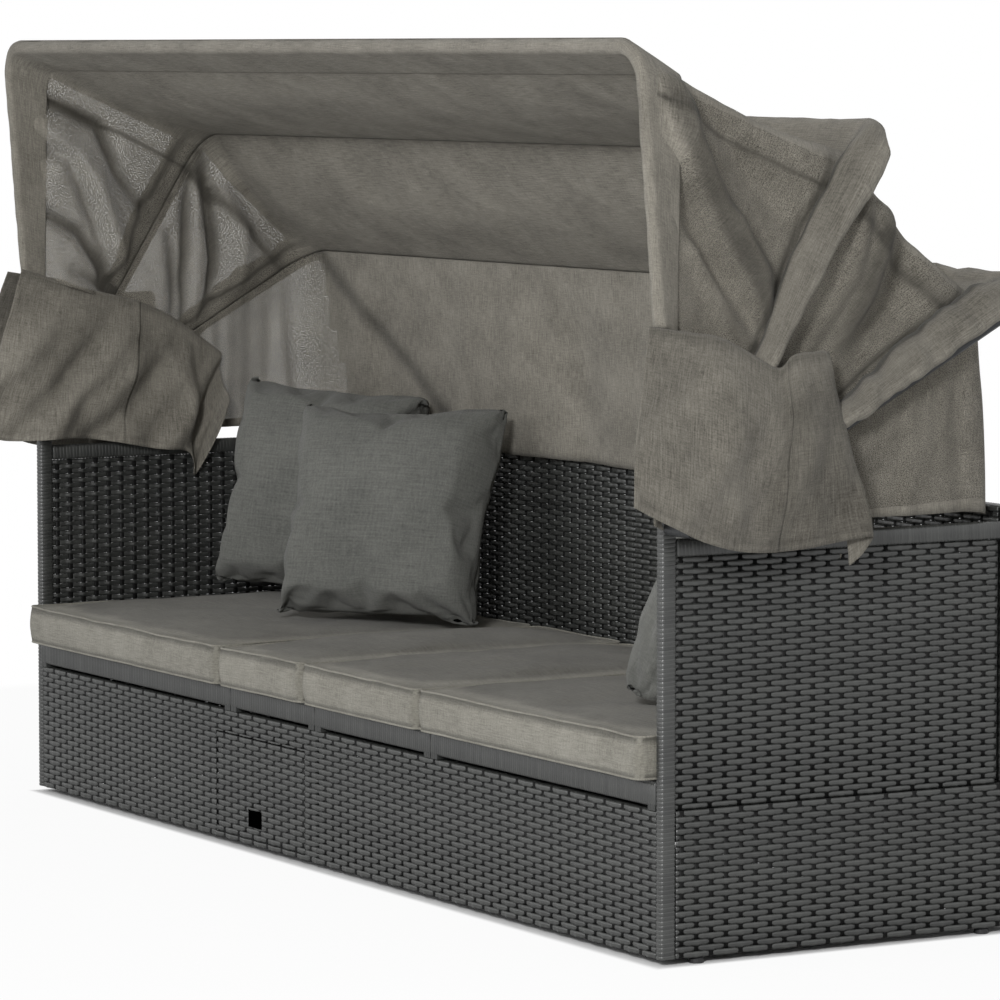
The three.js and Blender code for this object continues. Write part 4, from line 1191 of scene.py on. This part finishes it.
def curtainFolds(u, v, co):
    roof = roofShare(u)
    down = smooth(0.0, 0.5, v)
    hang = 0.008 * math.sin(2 * math.pi * 9 * u + 2 * rough(co, 2.0, 3)) * down
    hang += 0.014 * rough((co.x * 4, co.y * 2, co.z), 1.6, 7) * down
    hang += 0.003 * rough((co.x * 2, co.y * 2, co.z * 0.8), 12, 4)
    gather = 0.014 * rough((co.x, co.y * 2.2, co.z * 0.5), 6, 8) * (0.4 + 0.6 * down)
    gather += 0.007 * rough((co.x, co.y * 2.6, co.z * 0.4), 15, 6)
    return hang * roof + gather * (1 - roof)


bm, shares = shapedGrid(columnCount, curtain["rows"], curtainPlace, curtain["flat"])
layCloth(bm, shares, curtain["flat"], turned=True)
# painted shade: a dark slanting line across each side near the roof-side corner and a darker strip along the hem
addShade(bm, shares, lambda u, v, co: 0.75 * math.exp(-((min(u, 1 - u) - 0.297 - 0.105 * v) / 0.0065) ** 2) + 0.45 * smooth(0.965, 0.985, v))
relief(bm, shares, curtainFolds)
bmesh.ops.reverse_faces(bm, faces=bm.faces)
piece = clothPiece(bm, "canopy_curtain", shares, lambda u, v: min(u, 1 - u) < 0.297 + 0.025 * v and v < 0.94)
start = pivot + fanDirection(hoops["rear"]["angle"]) * 0.4
start + fanAcross(hoops["rear"]["angle"]) * 0.17
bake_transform(piece)
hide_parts("canopy_rear")
print("curtain hung")


# skirts under the side seams: an outer ply and an inner one, the hoops between them
# places from the middle outwards, from the front face backwards and from the floor up
# each ply's last two entries are painted shade: over its hollow, and over the whole ply
skirt = {
    "lap": 0.014,
    "columns": 110,
    "rows": 40,
    "outer": {
        "seam": [(1.113, -0.040, 0.956), (1.120, 0.020, 0.946), (1.122, 0.075, 0.938), (1.126, 0.125, 0.914),
                 (1.133, 0.172, 0.890), (1.136, 0.196, 0.908), (1.136, 0.228, 0.912), (1.130, 0.263, 0.910),
                 (1.116, 0.262, 0.880), (1.108, 0.285, 0.840)],
        "hem": [(1.186, -0.114, 0.699), (1.192, -0.062, 0.672), (1.194, 0.000, 0.645), (1.190, 0.055, 0.629),
                (1.168, 0.120, 0.620), (1.164, 0.175, 0.620), (1.184, 0.235, 0.629), (1.194, 0.302, 0.637),
                (1.164, 0.274, 0.595), (1.156, 0.316, 0.664)],
        "bulge": 0.012,
        "folds": 0.005,
        "hollowShade": 0.30,
        "shade": 0.36,
    },
    "inner": {
        "seam": [(1.080, -0.028, 0.962), (1.080, 0.030, 0.944), (1.079, 0.090, 0.926), (1.079, 0.150, 0.912),
                 (1.078, 0.205, 0.898), (1.076, 0.255, 0.878), (1.074, 0.300, 0.852), (1.072, 0.340, 0.824),
                 (1.070, 0.375, 0.798)],
        "hem": [(1.100, -0.108, 0.660), (1.058, -0.055, 0.648), (1.040, 0.020, 0.652), (1.056, 0.078, 0.650),
                (1.034, 0.150, 0.640), (1.054, 0.225, 0.626), (1.030, 0.290, 0.618), (1.052, 0.316, 0.575),
                (1.056, 0.372, 0.700)],
        "bulge": -0.010,
        "folds": 0.013,
        "hollowShade": 0.0,
        "shade": 0.20,
    },
}


def skirtPiece(ply, side, label):
    at = skirt[ply]

    def place(along, down):
        top, bottom = splinePoint(at["seam"], along), splinePoint(at["hem"], along)
        if ply == "inner" and side > 0:
            tuck = 0.090 * (1 - smooth(0, 0.5, along))
            top.y += 0.3 * tuck
            bottom.y += tuck
            bottom.x = lerp(bottom.x, 1.075, 0.5)
        point = top.lerp(bottom, down)
        point.x += at["bulge"] * math.sin(math.pi * down) * math.sin(math.pi * along)
        return Vector((side * point.x, frontY + point.y, point.z))

    middle = 0.5
    for half, low, high in (("front", 0.0, middle + skirt["lap"]), ("rear", middle, 1.0)):
        border = [place(middle, down / 10).y for down in range(11)]
        bm, shares = shapedGrid(skirt["columns"] // 2, skirt["rows"], lambda u, v: place(lerp(low, high, u), v))
        layer = bm.loops.layers.uv.verify()
        for face in bm.faces:
            for loop in face.loops:
                u, v = shares[loop.vert.index]
                loop[layer].uv = (v * 0.34, lerp(low, high, u) * 0.56)

        def folds(u, v, co):
            along = lerp(low, high, u)
            here = Vector((0, lerp(0, 0.56, along), v * 0.34))
            turn = 2 * math.pi * (2.9 * along + 0.95 * v)
            slant = at["folds"] * (math.sin(turn) + 0.45 * math.sin(2.3 * turn + 1)) * smooth(0.0, 0.55, v)
            loose = 0.016 * rough((0, here.y * 1.3, here.z * 0.55), 8, 2 + side) + 0.004 * rough((0, here.y, here.z * 0.6), 24, 4)
            return slant + smooth(0, 0.25, v) * loose + 0.001 * rough(here, 70, 1)

        # painted shade: the whole ply darker, the outer ply more in a hollow in its middle, and dark lines along the
        # seam and along the hem
        def hollowShade(along, down):
            hollowShadeMask = smooth(0.38, 0.52, along) * (1 - smooth(0.80, 0.84, along)) * smooth(0.05, 0.3, down)
            return at["hollowShade"] * hollowShadeMask

        addShade(bm, shares, lambda u, v, co: at["shade"] + hollowShade(lerp(low, high, u), v) + 0.55 * math.exp(-((v - 0.035) / 0.012) ** 2) + 0.45 * math.exp(-((v - 0.94) / 0.010) ** 2))
        for vert in bm.verts:
            u, v = shares[vert.index]
            lapped = canopy["thickness"] * smooth(middle - skirt["lap"], middle, lerp(low, high, u)) * (half == "front")
            vert.co.x += side * (folds(u, v, vert.co) + lapped * (1.3 if ply == "outer" else -1.3))
        bm.normal_update()
        if (side < 0) != (ply == "inner"):
            bmesh.ops.reverse_faces(bm, faces=bm.faces)
        piece = clothPiece(bm, f"canopy_skirt_{ply}_{half}_{label}")
        if half == "front":
            bodies, span = ("front_canopy", "middle_canopy"), (frontY - 0.010, min(border))
        else:
            bodies, span = ("middle_canopy", "rear_canopy"), (max(border), frontY + 0.340)
        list(bodies)
        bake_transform(piece)
        if half == "front" and ply == "outer":
            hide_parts(f"canopy_skirt_{label}")


for side, label in ((-1, "left"), (1, "right")):
    skirtPiece("outer", side, label)
    skirtPiece("inner", side, label)
print("skirts hung")

# finishes of the CAD nodes that stay
keptLooks = {
    "seat_deck": "deckWrap",
    "base_inner_panel": "innerWeave",
    "glide": "glide",
    "storage_bin": "liner",
    "flap_hinge_pin": "steel",
    "pivot_bolt": "steel",
    "hoop": "steel",
}
for name, node in nodes.items():
    for start, look in keptLooks.items():
        if name.startswith(start):
            node.data.materials.clear()
            node.data.materials.append(looks[look])
print("kept nodes finished")

# floor, light and camera
studio = {
    "camera": (7.6149, frontY - 4.0691, 1.3547),
    "heading": 59.851,
    "tilt": -4.884,
    "lens": 188.43,
    "world": 0.52,
}

bm = bmesh.new()
bmesh.ops.create_grid(bm, x_segments=1, y_segments=1, size=30)
floorMesh = bpy.data.meshes.new("floor")
bm.to_mesh(floorMesh)
bm.free()
floor = bpy.data.objects.new("floor", floorMesh)
bpy.context.scene.collection.objects.link(floor)
material, wire = newMaterial("pale_floor")
matt = wire.add("ShaderNodeBsdfDiffuse", {}, {"Color": (0.86, 0.86, 0.86, 1)})
white = wire.add("ShaderNodeEmission", {}, {"Color": (1, 1, 1, 1), "Strength": 1.0})
cameraRay = wire.add("ShaderNodeLightPath", {}, {}, "Is Camera Ray")
spot = objectPlace(wire)
away = [wire.add("ShaderNodeSeparateXYZ", {}, {0: spot}, i).magnitude() for i in (0, 1)]
depth = wire.add("ShaderNodeSeparateXYZ", {}, {0: spot}, 1)
sides = away[0].between(1.086, 1.100)
ends = depth.between(0.388, 0.402)
ends = ends.math("MAXIMUM", ends, (depth * -1.0).between(0.277, 0.291))
clear = sides.math("MAXIMUM", sides, ends) * 0.92
far = away[0].between(1.5, 2.6).math("MAXIMUM", away[0].between(1.5, 2.6), away[1].between(0.9, 2.0))
clear = clear.math("MAXIMUM", clear, far)
finishMaterial(wire, wire.add("ShaderNodeMixShader", {}, {0: cameraRay * clear, 1: matt, 2: white}))
floor.data.materials.append(material)

world = bpy.data.worlds.new("studio")
bpy.context.scene.world = world
world.use_nodes = True
world.node_tree.nodes.clear()
wire = Wire(world.node_tree)
rays = {name: wire.add("ShaderNodeLightPath", {}, {}, name) for name in ("Is Camera Ray", "Is Glossy Ray", "Is Transmission Ray")}
seen = rays["Is Camera Ray"].math("MAXIMUM", rays["Is Camera Ray"], rays["Is Glossy Ray"].math("MAXIMUM", rays["Is Glossy Ray"], rays["Is Transmission Ray"]))
soft = wire.add("ShaderNodeBackground", {}, {"Color": (1, 1, 1, 1), "Strength": studio["world"]})
bright = wire.add("ShaderNodeBackground", {}, {"Color": (1, 1, 1, 1), "Strength": 1.0})
shader = wire.add("ShaderNodeMixShader", {}, {0: seen, 1: soft, 2: bright})
output = world.node_tree.nodes.new("ShaderNodeOutputWorld")
world.node_tree.links.new(shader.socket, output.inputs["Surface"])


def softLamp(name, place, target, size, power):
    lamp = bpy.data.lights.new(name, "AREA")
    lamp.shape = "DISK"
    lamp.size = size
    lamp.energy = power
    holder = bpy.data.objects.new(name, lamp)
    bpy.context.scene.collection.objects.link(holder)
    holder.location = place
    holder.rotation_euler = (Vector(target) - Vector(place)).to_track_quat("-Z", "Y").to_euler()
    return holder


softLamp("key_lamp", (-1.2, -5.8, 2.2), (0, 0, 0.5), 3.0, 70)
softLamp("side_lamp", (5.4, -4.6, 3.0), (0.6, 0, 0.8), 1.2, 330)

cameraData = bpy.data.cameras.new("camera")
cameraData.sensor_width = 36
cameraData.lens = studio["lens"]
cameraData.clip_end = 100
camera = bpy.data.objects.new("camera", cameraData)
bpy.context.scene.collection.objects.link(camera)
camera.location = studio["camera"]
camera.rotation_euler = Euler((math.radians(90 + studio["tilt"]), 0, math.radians(studio["heading"])))
bpy.context.scene.camera = camera
bpy.context.scene.view_settings.view_transform = "Standard"
print("studio set")
